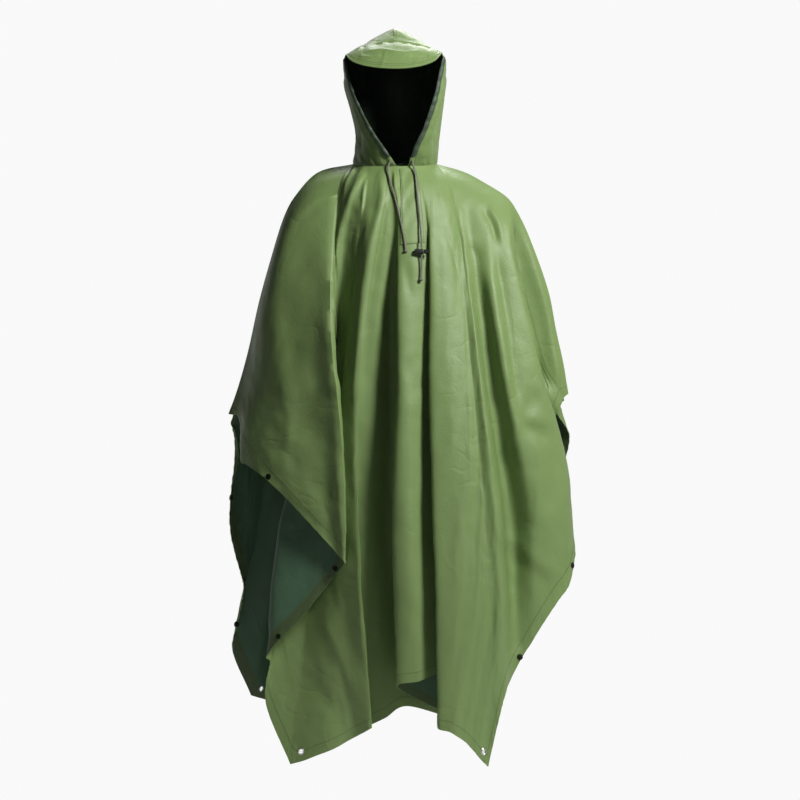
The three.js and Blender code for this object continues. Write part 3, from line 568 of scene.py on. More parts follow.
def makeMetalFinish(name, dull, bright, rough):
    f = Finish(name)
    place = f.add("TexCoord", out=3)
    wear = f.grain(place, 420, 4, 0.7)
    colour = f.mix(wear, dull, bright)
    return f.shade(colour, rough + wear * 0.2, wear * 0.00003, Metallic=1.0)


def makeThreadFinish():
    f = Finish("sewing_thread")
    place = f.add("TexCoord", out=3)
    twist = f.grain(place, 2500, 1)
    colour = f.mix(twist, (0.060, 0.095, 0.035), (0.11, 0.16, 0.065))
    return f.shade(colour, 0.65, twist * 0.0001)


outside = makeOutsideFinish()
inside = makeInsideFinish("green_coating", teal)
# The hood's inner face is painted near black as painted shade inside the hood. The cloth itself has the teal
# coating there.
hoodInsidePaintedShade = makeInsideFinish("hood_inner_painted_shade", {"light": (0.018, 0.032, 0.020), "deep": (0.010, 0.020, 0.012),
                                                     "rough": 0.6})
# The casing has the inner coating's colour, darkened further as painted shade along the hood's face edge.
casingCoatingAndShade = makeInsideFinish("casing_coating_and_painted_shade", {"light": (0.050, 0.078, 0.052), "deep": (0.024, 0.042, 0.027),
                                                 "rough": 0.55})
cordFinish = makeCordFinish()
plastic = makePlasticFinish()
brightMetal = makeMetalFinish("nickel_eyelet", (0.38, 0.39, 0.37), (0.62, 0.63, 0.60), 0.25)
darkMetal = makeMetalFinish("dark_snap", (0.012, 0.016, 0.011), (0.045, 0.05, 0.04), 0.35)
thread = makeThreadFinish()
print("finishes made")


# Drawcord: the free ends lie on the routes of their solids
cordSize = {"diameter": 4.0, "sides": 14, "every": 1.4, "knotReach": 4.1, "knotCord": 1.7}
rightCord = [
    (37.2, -82.5, 4.9), (38.6, -84.3, -3.5), (42, -88.5, -14), (44, -98.5, -29), (46, -111, -49), (48.5, -125, -74),
    (51, -132.5, -100), (54, -141, -130), (56.5, -149.5, -158), (57, -154.6, -176), (57, -156.4, -185),
    (57, -156.4, -201), (57, -157, -212), (57, -159, -230), (56, -162.4, -250),
]
leftCord = [
    (-9.3, -86.2, 3.7), (-12.5, -87.6, -3), (-15, -92.5, -14.5), (-13, -102, -30), (-9, -113, -46), (-4, -122, -62),
    (1, -128, -80), (6, -133, -100), (11, -140, -122), (16, -147, -145), (20, -152, -166), (23, -156, -188),
]


# Points at even steps on a smooth line through a route's points
def evenLine(route, every, closed=False):
    route = np.array(route, float)
    if closed:
        p = np.concatenate([route[-1:], route, route[:2]])
    else:
        p = np.concatenate([2 * route[:1] - route[1:2], route, 2 * route[-1:] - route[-2:-1]])
    t = np.linspace(0, 1, 24, endpoint=False)[:, None]
    line = [(2 * p[k + 1] + (p[k + 2] - p[k]) * t + (2 * p[k] - 5 * p[k + 1] + 4 * p[k + 2] - p[k + 3]) * t ** 2
             + (3 * p[k + 1] - p[k] - 3 * p[k + 2] + p[k + 3]) * t ** 3) / 2 for k in range(len(p) - 3)]
    line = np.concatenate([*line, p[-2:-1]])
    gone = np.concatenate([[0], np.cumsum(np.linalg.norm(np.diff(line, axis=0), axis=1))])
    places = np.linspace(0, gone[-1], max(int(gone[-1] / every), 4) + 1)
    return np.stack([np.interp(places, gone, line[:, k]) for k in range(3)], -1)


# Round cord along a line, with a cloth map of metres along and turns round
def cordObject(name, line, radius, finish, sides, closed=False):
    if closed:
        line = line[:-1]
    ahead = unit(np.roll(line, -1, 0) - np.roll(line, 1, 0)) if closed else unit(np.gradient(line, axis=0))
    side = unit(np.cross(ahead[0], (0.3, 0.9, 0.2)))
    rings = []
    for point, direction in zip(line, ahead):
        side = unit(side - direction * np.dot(side, direction))
        turn = np.linspace(0, 2 * math.pi, sides, endpoint=False)[:, None]
        rings.append(point + radius * (np.cos(turn) * side + np.sin(turn) * np.cross(direction, side)))
    points = np.array(rings)
    count = len(line)
    index = np.arange(count * sides).reshape(count, sides)
    ringAt = np.arange(count if closed else count - 1)
    here, onward = index[ringAt], index[(ringAt + 1) % count]
    faces = np.stack([here, np.roll(here, -1, 1), np.roll(onward, -1, 1), onward], -1).reshape(-1, 4).tolist()
    if not closed:
        faces += [index[0][::-1].tolist(), index[-1].tolist()]
    mesh = bpy.data.meshes.new(name)
    mesh.from_pydata((points.reshape(-1, 3) * mm).tolist(), [], faces)
    mesh.materials.append(finish)
    layer = mesh.uv_layers.new(name="cloth")
    spacing = np.linalg.norm(line[1] - line[0]) * mm
    for polygon in mesh.polygons:
        isLast = max(polygon.vertices) - min(polygon.vertices) > sides * 2
        for loop in polygon.loop_indices:
            ring, turn = divmod(mesh.loops[loop].vertex_index, sides)
            turn = sides if turn == 0 and polygon.index % sides == sides - 1 else turn
            ring = count if isLast and ring == 0 else ring
            layer.data[loop].uv = (ring * spacing, turn / sides)
    return finishObject(name, mesh)


def makeKnot(name, centre, along):
    turn = np.linspace(0, 2 * math.pi, 28, endpoint=False)
    reach = (cordSize["knotReach"] - cordSize["knotCord"]) / 2.4
    loop = np.stack([np.sin(turn) + 2 * np.sin(2 * turn), np.cos(turn) - 2 * np.cos(2 * turn),
                     -1.5 * np.sin(3 * turn)], -1) * reach
    facing = np.array(Vector(along).to_track_quat("Z", "Y").to_matrix())
    line = evenLine(loop @ facing.T + centre, 0.9, closed=True)
    piece = cordObject(name, line, cordSize["knotCord"], cordFinish, 10, closed=True)
    return piece


# Spring toggle: a drum with a hole for the cord, and its ribbed push button
toggle = {"start": 42, "y": -156.4, "z": -193, "radius": 5.5, "body": 19, "gap": 0.3, "button": 11,
          "buttonRadius": 4.6, "hole": 2.6, "cordX": 57}


def editFaces(piece, wanted):
    bpy.ops.object.mode_set(mode="OBJECT")
    for part in (piece.data.vertices, piece.data.edges, piece.data.polygons):
        part.foreach_set("select", [False] * len(part))
    for polygon in piece.data.polygons:
        polygon.select = bool(wanted(polygon))
    bpy.ops.object.mode_set(mode="EDIT")
    bpy.ops.mesh.select_mode(type="FACE")


def startDrum(name, radius, depth, location, sides=32):
    bpy.ops.object.select_all(action="DESELECT")
    bpy.ops.mesh.primitive_cylinder_add(vertices=sides, radius=radius * mm, depth=depth * mm,
                                        location=[v * mm for v in location], rotation=(0, math.radians(90), 0))
    piece = bpy.context.object
    piece.name = name
    bpy.ops.object.transform_apply(location=True, rotation=True, scale=True)
    return piece


def endHardPiece(piece, finish, replaced, angle=35):
    bpy.ops.object.mode_set(mode="OBJECT")
    piece.data.materials.clear()
    piece.data.materials.append(finish)
    bpy.ops.object.shade_smooth_by_angle(angle=math.radians(angle))
    piece.select_set(False)
    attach(piece, "root")
    if replaced:
        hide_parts(*replaced)
    return piece


def bevelEnds(piece, size, segments=3):
    editFaces(piece, lambda face: abs(face.normal.x) > 0.9)
    bpy.ops.mesh.bevel(offset=size * mm, segments=segments, affect="EDGES")


def makeToggleBody():
    middle = toggle["start"] + toggle["body"] / 2
    piece = startDrum("toggle_body", toggle["radius"], toggle["body"], (middle, toggle["y"], toggle["z"]), 40)
    bpy.ops.object.select_all(action="DESELECT")
    bpy.ops.mesh.primitive_cylinder_add(vertices=24, radius=toggle["hole"] * mm, depth=4 * toggle["radius"] * mm,
                                        location=(toggle["cordX"] * mm, toggle["y"] * mm, toggle["z"] * mm))
    cutter = bpy.context.object
    cutting = piece.modifiers.new("cord_hole", "BOOLEAN")
    cutting.object = cutter
    cutting.operation = "DIFFERENCE"
    cutter.select_set(False)
    piece.select_set(True)
    bpy.context.view_layer.objects.active = piece
    bpy.ops.object.modifier_apply(modifier="cord_hole")
    bpy.data.objects.remove(cutter)
    bevelEnds(piece, 0.9)
    editFaces(piece, lambda face: face.normal.x > 0.99)
    bpy.ops.mesh.inset(thickness=0.7 * mm)
    bpy.ops.transform.translate(value=(-0.5 * mm, 0, 0))
    return endHardPiece(piece, plastic, ["cord_lock_body"])


def makeToggleButton():
    start = toggle["start"] + toggle["body"] + toggle["gap"]
    middle = start + toggle["button"] / 2
    piece = startDrum("toggle_button", toggle["buttonRadius"], toggle["button"],
                      (middle, toggle["y"], toggle["z"]), 40)
    editFaces(piece, lambda face: face.normal.x > 0.9)
    for depth in (-0.6, -0.5, -0.5):
        bpy.ops.mesh.inset(thickness=0.75 * mm)
        bpy.ops.transform.translate(value=(depth * mm, 0, 0))
    editFaces(piece, lambda face: face.normal.x < -0.9)
    bpy.ops.mesh.bevel(offset=0.4 * mm, segments=2, affect="EDGES")
    return endHardPiece(piece, plastic, ["cord_lock_button"])


def makeCordEnd(side, route):
    line = evenLine(route, cordSize["every"])
    piece = cordObject(f"cord_end_{side}", line, cordSize["diameter"] / 2, cordFinish, cordSize["sides"])
    onward = unit(line[-1] - line[-2])
    knot = makeKnot(f"cord_knot_{side}", line[-1] + onward * (cordSize["knotReach"] - 0.9), onward)
    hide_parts(f"drawcord_{side}")
    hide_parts(f"drawcord_{side}_knot")


toggleParts = [makeToggleBody(), makeToggleButton()]
makeCordEnd("right", rightCord)
makeCordEnd("left", leftCord)
print("drawcord and toggle made")


# Panels
panelLook = {"thickness": 0.9, "hemThickness": 1.7, "rowsPerSpan": (9, 40, 36, 32), "acrossEvery": 10.0,
             "fewestColumns": 5}
frontCreases = [
    ("gatherOne", 9, 13, 1, [(-92, -6), (-120, -34), (-138, -80), (-142, -135), (-142, -195), (-136, -290),
                             (-128, -400), (-118, -520), (-108, -849)]),
    ("gatherTwo", 9, 11, 1, [(-58, -19), (-80, -52), (-94, -82), (-108, -130), (-120, -176), (-128, -240)]),
    ("gatherSmall", 5, 6, 1, [(-62, -36), (-66, -70), (-70, -112)]),
    ("gatherInner", 5, 7, 0, [(-34, -30), (-26, -66), (-36, -110)]),
    ("gatherBlot", 5, 16, 0, [(-60, -90), (-56, -150), (-62, -226)]),
    ("centreLeft", 10, 13, 1, [(-4, -56), (-30, -105), (-43, -161), (-54, -224), (-65, -288), (-71, -350),
                               (-77, -467), (-79, -560)]),
    ("stripEdge", 5, 6, -1, [(-4, -13), (-1, -54), (9, -99), (15, -148), (17, -174)]),
    ("stripLeft", 7, 11, 0, [(11, -172), (10, -243), (11, -350), (13, -458), (11, -550), (-11, -854), (-9, -983),
                             (6, -1120)]),
    ("stripValley", -8, 12, 0, [(-9, -130), (-8, -226), (-7, -316), (-6, -550), (-9, -854), (6, -1133)]),
    ("planeEdge", 3.5, 7, -1, [(56, -40), (68, -100), (76, -180), (78, -260), (80, -460), (82, -700), (97, -1069)]),
    ("planeLip", 2.0, 5, 0, [(81, -4), (82, -90), (84, -200), (90, -420)]),
    ("rightValley", -12, 16, 0, [(174, -196), (179, -271), (192, -350), (206, -467), (216, -550), (230, -624),
                                 (245, -785), (256, -1026)]),
    ("outerValley", -10, 13, 0, [(214, -178), (232, -271), (247, -366), (260, -467), (268, -550)]),
    ("betweenValleys", 6, 14, 0, [(196, -210), (213, -320), (232, -430), (246, -520)]),
    ("armHollow", -27, 26, -1, [(258, -110), (268, -170), (278, -224), (298, -318), (318, -430), (330, -510)]),
    ("armRidge", 15, 13, -1, [(270, -120), (290, -180), (303, -228), (331, -329), (346, -432), (352, -510)]),
    ("armEdge", 8, 13, 1, [(245, -88), (254, -148), (267, -224), (284, -318), (312, -467), (330, -560)]),
    ("starUp", -5, 12, 0, [(267, -559), (286, -527), (307, -488)]),
    ("starRight", -7, 13, 0, [(267, -559), (295, -574), (329, -596)]),
    ("starDown", 5, 9, 0, [(267, -559), (252, -596), (236, -628)]),
    ("starOut", 5, 13, 0, [(270, -556), (310, -548), (350, -560)]),
    ("collarBone", 3.5, 10, 0, [(90, -63), (103, -86), (125, -99), (153, -108)]),
    ("chestDiagonal", -3.0, 5, 0, [(84, -123), (112, -155), (131, -219), (138, -256)]),
    ("chestPinch", -7, 10, 0, [(157, -181), (168, -190), (178, -200)]),
    ("chestPinchLip", 4, 9, 0, [(158, -168), (170, -177), (184, -186)]),
    ("armFold", -6.5, 7, 0, [(188, -98), (206, -123), (217, -155), (219, -176)]),
    ("armFoldLip", 4, 7, 0, [(200, -92), (220, -126), (230, -172)]),
    ("lowDiagonal", 5, 14, 0, [(213, -783), (290, -843), (363, -899)]),
    ("lowDiagonalTrough", -4, 14, 0, [(205, -800), (280, -862), (340, -910)]),
    ("teardrop", -7, 6, 0, [(21, -214), (30, -258), (40, -305)]),
    ("sleeveFirst", 4, 14, 0, [(-150, -456), (-125, -484), (-97, -510)]),
    ("sleeveSecond", -4, 15, 0, [(-190, -440), (-150, -456), (-120, -450)]),
    ("sleeveThird", 3.5, 12, 0, [(-150, -456), (-160, -500), (-152, -560)]),
    ("sleeveLong", 5, 13, 1, [(-262, -300), (-236, -420), (-222, -560), (-226, -640)]),
    ("sleeveTop", -5, 12, 0, [(-204, -96), (-188, -150), (-178, -220)]),
    ("sleeveFall", 5, 14, 1, [(-196, -150), (-190, -260), (-186, -380), (-180, -520)]),
    ("shoulderStarOne", 5, 13, 0, [(-206, -92), (-184, -112), (-150, -118)]),
    ("shoulderStarTwo", -5.5, 14, 0, [(-198, -76), (-176, -92), (-146, -92)]),
    ("shoulderStarThree", 5, 8, 0, [(-180, -40), (-172, -78), (-176, -120)]),
    ("underFirst", -4.5, 14, 0, [(-110, -933), (-95, -946), (-80, -957)]),
    ("underSecond", 5, 13, 0, [(-157, -965), (-118, -1047), (-75, -1155)]),
    ("underThird", -5, 16, 0, [(-200, -1100), (-160, -1150), (-100, -1180)]),
    ("underFourth", 5, 10, 1, [(-70, -800), (-60, -920), (-62, -1060)]),
    ("sideLong", 5, 11, 1, [(300, -560), (312, -660), (300, -790)]),
    ("sideLongTrough", -4, 11, 0, [(330, -520), (345, -640), (335, -760)]),
    ("stripShort", -4, 13, 0, [(20, -420), (40, -470), (58, -500)]),
    ("stripLow", 4, 9, 0, [(30, -700), (22, -820), (36, -960)]),
]
backCreases = [
    ("yokeLeft", 7, 11, 1, [(-60, -30), (-110, -90), (-140, -190), (-150, -330)]),
    ("yokeRight", 7, 11, -1, [(58, -30), (100, -96), (136, -200), (160, -350)]),
    ("bladeLeft", -6, 11, 0, [(-170, -110), (-130, -170), (-110, -280)]),
    ("bladeRight", -6, 11, 0, [(176, -120), (140, -180), (118, -270)]),
    ("spine", -7, 13, 0, [(0, -60), (-4, -200), (4, -420), (-6, -700)]),
    ("smallLeft", 4, 7, 0, [(-90, -150), (-60, -190), (-20, -200)]),
    ("smallRight", 4, 7, 0, [(92, -140), (70, -186), (30, -206)]),
    ("waistLeft", -5, 10, 0, [(-210, -420), (-150, -500), (-120, -600)]),
    ("waistRight", 5, 10, 0, [(220, -400), (170, -490), (150, -620)]),
    ("longLeft", 6, 12, 1, [(-230, -500), (-240, -700), (-260, -900)]),
    ("longRight", 6, 12, -1, [(250, -480), (262, -640), (250, -820)]),
    ("lowLeft", -4, 9, 0, [(-180, -900), (-130, -950), (-110, -1040)]),
    ("lowRight", -4, 9, 0, [(190, -880), (130, -930), (96, -1030)]),
    ("starOne", 4, 8, 0, [(-290, -470), (-250, -500), (-200, -490)]),
    ("starTwo", -4, 8, 0, [(300, -440), (262, -470), (214, -480)]),
    ("lowMiddle", 4, 10, 0, [(20, -760), (34, -900), (16, -1040)]),
]
# crumple: size across, direction in degrees, stretch, rise, seed
frontCrumple = [(95, 20, 2.6, 1.5, 11), (80, -38, 2.2, -1.2, 23), (62, 75, 2.0, 1.0, 31), (40, -12, 2.0, -0.6, 47)]
backCrumple = [(95, -24, 2.6, 1.5, 53), (80, 34, 2.2, -1.2, 61), (62, 80, 2.0, 1.0, 71), (40, 8, 2.0, -0.6, 83)]


def rimPlace(rim):
    down = np.interp(rim, [0, cut["edge"]], [0, -cut["edge"]])
    up = np.interp(rim, [cut["edge"] + cut["hem"], 2 * cut["edge"] + cut["hem"]], [-cut["edge"], 0])
    across = np.interp(rim, [cut["edge"], cut["edge"] + cut["hem"]], [-cut["halfWidth"], cut["halfWidth"]])
    return np.stack([across, np.where(rim < cut["edge"], down, up)], -1)


# Everything about a panel's fine surface: points, outward normals, flat places, distance to the free edge
def makeSurface(folds, corners, side, creases, crumples):
    counts = np.maximum(np.round(np.diff(folds["rim"]) / panelLook["acrossEvery"]), panelLook["fewestColumns"])
    f = np.concatenate([[0], *[i + np.arange(1, n + 1) / n for i, n in enumerate(counts.astype(int))]])
    spans = len(panelLook["rowsPerSpan"])
    places = np.concatenate([[0], *[(k + np.arange(1, n + 1) / n) / spans
                                    for k, n in enumerate(panelLook["rowsPerSpan"])]])
    keys = np.arange(len(folds["top"]), dtype=float)

    def read(name, sharp=()):
        return smoothAt(keys, folds[name], f, sharp)

    at = np.interp(f, keys, folds["top"])
    top, yoke, topNormal = topLine(at, side)
    end = np.stack([read(name, corners) for name in ("endX", "endY", "endZ")], -1)
    levels = {name: yoke[:, 2] + (end[:, 2] - yoke[:, 2]) * share for name, share in height.items()}
    chest, hip = [np.stack([read(name + "X"), read(name + "Y"), levels[name]], -1) for name in ("chest", "hip")]
    points = alongCurves(np.stack([top, yoke, chest, hip, end]), places)
    normals = gridNormals(points, -side)
    steps = np.linalg.norm(np.diff(points, axis=1), axis=2)
    gone = np.concatenate([np.zeros((len(f), 1)), np.cumsum(steps, axis=1)], 1)
    share = (gone / gone[:, -1:])[..., None]
    flatTop = np.stack([at, 0 * at], -1)[:, None]
    flat = flatTop * (1 - share) + rimPlace(np.interp(f, keys, folds["rim"]))[:, None] * share
    u, v = flat[..., 0], flat[..., 1]
    edge = np.minimum(cut["halfWidth"] - np.abs(u), v + cut["edge"])
    seen = step(0.1, 0.5, normals[..., 1] * side)
    rise = placedCreases(creases, points[..., 0], points[..., 2]) * seen
    # gathers below the neck, deeper on the left where the cloth is drawn in
    fromNeck = step(neck["reach"] + 12, neck["reach"] - 12, np.abs(at))[:, None]
    pleats = np.sin(at / 4.1 + 1.3 * np.sin(at / 11))[:, None] * np.exp(-gone / 55) * fromNeck
    rise += pleats * np.where(at < 0, 3.4, 1.4)[:, None]
    for size, direction, stretch, amount, seed in crumples:
        rise += amount * crumple(u, v, size, direction, stretch, seed)
    rise = soften(soften(rise))
    rise += 2.2 * grain(u / 60, v / 330, 5 + side) * step(60, 300, gone)
    rise += 0.9 * grain(u / 26, v / 34, 9 + side)
    # the stitched hem puckers a little
    rise += 0.7 * np.sin((u + v) / 4.2 + 2 * grain(u / 40, v / 40, 15)) * np.exp(-np.maximum(edge - 4, 0) / 14)
    rise *= step(0, 30, gone)
    return {"f": f, "keys": keys, "folds": folds, "side": side, "points": points, "normals": normals,
            "rise": rise, "flat": flat, "edge": edge, "topNormal": topNormal}


# Column and row nearest to a fitting, with its place and the cloth's normal there
def fittingSpot(surface, rim, inset):
    place = np.interp(rim, surface["folds"]["rim"], surface["keys"])
    place = (math.floor(place * 2) + 0.5) / 2
    column = int(np.argmin(np.abs(surface["f"] - place)))
    line = surface["points"][column]
    fromEdge = np.concatenate([np.cumsum(np.linalg.norm(np.diff(line[::-1], axis=0), axis=1))[::-1], [0]])
    row = int(np.argmin(np.abs(fromEdge - inset)))
    return column, row


def panelFittings(surface, label):
    found = []
    for hand in ("left", "right"):
        whole = 2 * cut["edge"] + cut["hem"]
        for number, along in enumerate(snapPlaces, 1):
            rim = along if hand == "left" else whole - along
            found.append((f"snap_{label}_{hand}_{number}", "snap", fittingSpot(surface, rim, snapInset)))
        rim = cut["edge"] + eyeletInset if hand == "left" else cut["edge"] + cut["hem"] - eyeletInset
        found.append((f"eyelet_{label}_{hand}", "eyelet", fittingSpot(surface, rim, eyeletInset)))
    return found


def makePanel(name, surface, label):
    points, normals = surface["points"], surface["normals"]
    fittings = panelFittings(surface, label)
    for _, _, (column, row) in fittings:
        away = np.linalg.norm(points - points[column, row], axis=2)
        surface["rise"] *= step(8, 24, away)
    points = points + normals * surface["rise"][..., None]
    normals = gridNormals(points, -surface["side"])
    normals[:, 0] = surface["topNormal"]
    skip, spots = [], []
    for title, kind, (column, row) in fittings:
        low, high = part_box(title)
        centre = (np.array(low) + np.array(high)) / 2 / mm
        points, normals, hole = seatFitting(points, normals, column, row, centre, kind)
        skip += hole
        spots.append((title, kind, centre, normals[column, row]))
    thickness = panelLook["thickness"] + (panelLook["hemThickness"] - panelLook["thickness"]) \
        * step(hemWidth / mm + 1.5, hemWidth / mm - 1.5, surface["edge"])
    piece = clothObject(f"poncho_{label}", points, normals, thickness, [outside, inside], surface["flat"],
                        surface["edge"], skip)
    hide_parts(name)
    surface.update(finePoints=points, fineNormals=normals)
    print(name, "made", len(piece.data.polygons))
    return spots


# Moves the cloth so that it passes through the fitting; an eyelet also opens a round hole
def seatFitting(points, normals, column, row, centre, kind):
    away = np.linalg.norm(points - points[column, row], axis=2)
    pull = step(45, 10, away)[..., None]
    points = points + (centre - points[column, row]) * pull
    if kind == "snap":
        return points, normals, []
    normal = normals[column, row]
    for a in (-1, 0, 1):
        for b in (-1, 0, 1):
            away = points[column + a, row + b] - centre
            away = away - normal * np.dot(away, normal)
            if (a, b) != (0, 0):
                points[column + a, row + b] = centre + away / np.linalg.norm(away) * 6.0
    hole = [(column + a, row + b) for a in (-1, 0) for b in (-1, 0)]
    return points, normals, hole


frontSurface = makeSurface(frontFolds, frontCorners, -1, frontCreases, frontCrumple)
backSurface = makeSurface(backFolds, backCorners, 1, backCreases, backCrumple)
spots = makePanel("front_panel", frontSurface, "front") + makePanel("back_panel", backSurface, "back")


# Hood
hoodLook = {"faceColumns": 34, "crownColumns": 58, "rowsPerSection": 12, "thickness": 0.9,
            "crownStart": 4 / 11, "casingWidth": 10.0, "earDrop": 8.0}
hoodSideCreases = {
    -1: [("drapeOne", -4.0, 7, 0, [(-52, 206), (-66, 140), (-60, 70), (-42, 16)]),
         ("drapeTwo", 3.5, 7, 0, [(-76, 190), (-84, 120), (-74, 50)]),
         ("drapeThree", 3.5, 8, 0, [(-20, 210), (-36, 130), (-30, 50), (-16, 12)]),
         ("sideLow", -3.5, 7, 0, [(8, 20), (20, 70), (16, 130)]),
         ("backLow", 3.5, 8, 0, [(54, 12), (74, 70), (82, 150)]),
         ("backHigh", -3, 8, 0, [(30, 250), (60, 210), (92, 160)])],
    1: [("drapeOne", -3.5, 6, 0, [(-58, 200), (-70, 130), (-66, 60), (-50, 14)]),
        ("drapeTwo", 4.0, 7, 0, [(-80, 180), (-90, 110), (-80, 36)]),
        ("drapeThree", 3.0, 8, 0, [(-26, 200), (-40, 120), (-26, 40)]),
        ("sideLow", -3.5, 7, 0, [(12, 16), (26, 76), (20, 140)]),
        ("backLow", 3.5, 8, 0, [(50, 12), (80, 90), (88, 160)]),
        ("backHigh", -3, 8, 0, [(20, 256), (56, 216), (90, 170)])],
}


def blend(first, second, share):
    return first + (second - first) * share


def hoodForm(rows, m, c):
    keys = np.arange(len(rows["faceX"]), dtype=float)
    read = {name: smoothAt(keys, values, m) for name, values in rows.items()}
    face, side = [np.stack([read[word + axis] for axis in "XYZ"], -1) for word in ("face", "side")]
    side[..., 2] -= hoodLook["earDrop"] * step(4.5, 6.5, m)
    seam = np.stack([0 * m, read["seamY"], read["seamZ"]], -1)
    if c <= hoodLook["crownStart"]:
        t = c / hoodLook["crownStart"]
        bend = np.stack([blend(face[:, 0], side[:, 0], 0.55), face[:, 1], blend(face[:, 2], side[:, 2], 0.3)], -1)
        cheek = np.stack([side[:, 0], blend(side[:, 1], face[:, 1], 0.55),
                          blend(side[:, 2], face[:, 2], 0.3)], -1)
        return face * (1 - t) ** 3 + 3 * bend * t * (1 - t) ** 2 + 3 * cheek * t * t * (1 - t) + side * t ** 3
    turn = (c - hoodLook["crownStart"]) / (1 - hoodLook["crownStart"]) * math.pi / 2
    power = 2 / read["round"][:, None]
    centre = side * (0, 1, 1)
    return centre + (side - centre) * math.cos(turn) ** power + (seam - centre) * math.sin(turn) ** power


def arcs(points, axis):
    steps = np.linalg.norm(np.diff(points, axis=axis), axis=2)
    first = np.zeros_like(steps[:1] if axis == 0 else steps[:, :1])
    return np.concatenate([first, np.cumsum(steps, axis=axis)], axis)


def makeHoodHalf(name, rows, hand):
    c = np.concatenate([np.linspace(0, hoodLook["crownStart"], hoodLook["faceColumns"], endpoint=False),
                        np.linspace(hoodLook["crownStart"], 1, hoodLook["crownColumns"] + 1)])
    last = len(rows["faceX"]) - 1
    m = np.linspace(0, last, last * hoodLook["rowsPerSection"] + 1)
    points = np.stack([hoodForm(rows, m, place) for place in c])
    startAngle = math.atan2(rows["faceX"][0], -rows["faceY"][0] * neck["halfWidth"] / neck["front"])
    quarter = hand * math.pi / 2
    angle = np.interp(c, [0, hoodLook["crownStart"], 1], [startAngle, quarter, 2 * quarter])
    foot = neckPoint(angle) + (0, 0, 0.2)
    low = np.clip(1 - m / 0.5, 0, 1)[None, :, None]
    points = points + (foot[:, None] - points[:, :1]) * low
    points[-1, :, 0] = -hand * 0.3
    normals = gridNormals(points, 1)
    normals *= np.sign(np.sum(normals * (points - (0, 0, 120))))
    fromFace, up = arcs(points, 0), arcs(points, 1)
    fromSeam = fromFace[-1:] - fromFace
    rise = placedCreases(hoodSideCreases[hand], points[..., 1], points[..., 2]) * step(0.2, 0.7, np.abs(normals[..., 0]))
    rise += 1.7 * np.sin(fromFace / 4.0 + 2 * grain(fromFace / 22, up / 60, 3 + hand)) * np.exp(-up / 26)
    rise += 1.0 * np.sin(up / 4.6 + 2.5 * grain(up / 30, fromFace / 30, 21 + hand)) * np.exp(-fromFace / 13)
    rise += 0.5 * np.sin(up / 2.6) * np.exp(-fromSeam / 7)
    for size, direction, stretch, amount, seed in ((58, 30, 2.0, 1.4, 131), (44, -40, 2.2, -1.2, 137),
                                                   (34, 85, 2.0, 0.8, 149)):
        rise += amount * crumple(fromFace, up, size, direction, stretch, seed + hand)
    rise += 1.3 * grain(fromFace / 40, up / 60, 45 + hand)
    rise *= step(0, 9, up) * step(0, 8, up[:, -1:] - up) * step(0, 4, fromSeam)
    points = points + normals * rise[..., None]
    normals = gridNormals(points, 1)
    normals *= np.sign(np.sum(normals * (points - (0, 0, 120))))
    normals[-1, :, 0] = 0
    normals = unit(normals)
    edge = fromFace + 8
    # The inner face takes the near-black painted shade finish.
    piece = clothObject(f"hood_half_{name}", points, normals, hoodLook["thickness"], [outside, hoodInsidePaintedShade],
                        np.stack([fromFace, up], -1), edge)
    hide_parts(f"hood_{name}")
    return {"points": points, "normals": normals, "fromFace": fromFace, "up": up, "fromSeam": fromSeam}


hoodHalves = {"left": makeHoodHalf("left", hoodLeft, -1), "right": makeHoodHalf("right", hoodRight, 1)}
print("hood made")


# Places in a grid, read between its points: columns and rows may be fractions
def readGrid(lines, i, j):
    a = np.clip(np.floor(i).astype(int), 0, lines.shape[0] - 2)
    b = np.clip(np.floor(j).astype(int), 0, lines.shape[1] - 2)
    s, t = (i - a)[..., None], (j - b)[..., None]
    return blend(blend(lines[a, b], lines[a + 1, b], s), blend(lines[a, b + 1], lines[a + 1, b + 1], s), t)


# Casing: the turned tunnel along the face edge, slightly ruffled over its cord
def makeCasing(name):
    half = hoodHalves[name]
    rows = np.arange(6, half["points"].shape[1] - 4)
    across = np.linspace(0, 1, 9)
    columns = np.stack([np.interp(across * hoodLook["casingWidth"], half["fromFace"][:, j],
                                  np.arange(half["fromFace"].shape[0])) for j in rows], 1)
    j = np.broadcast_to(rows, columns.shape).astype(float)
    points, normals = readGrid(half["points"], columns, j), unit(readGrid(half["normals"], columns, j))
    up = readGrid(half["up"][..., None], columns, j)[..., 0]
    bulge = np.sin(math.pi * across)[:, None]
    lift = 1.35 + bulge * (1.1 + 0.35 * np.sin(up / 2.9 + 2 * grain(up / 20, up / 50, 7)))
    flat = np.stack([np.broadcast_to(across[:, None] * hoodLook["casingWidth"], up.shape), up], -1)
    edge = np.full_like(up, 60)
    piece = clothObject(f"face_casing_{name}", points, normals, 0.9, [casingCoatingAndShade], flat, edge, lift=lift)
    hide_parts(f"casing_{name}")


for name in hoodHalves:
    makeCasing(name)


# Visor: the soft peak between the two halves' last sections and a curved front edge
visor = {"reach": 70, "frontZ": 197, "tip": 8, "rise": 9, "columns": 120, "rows": 34}


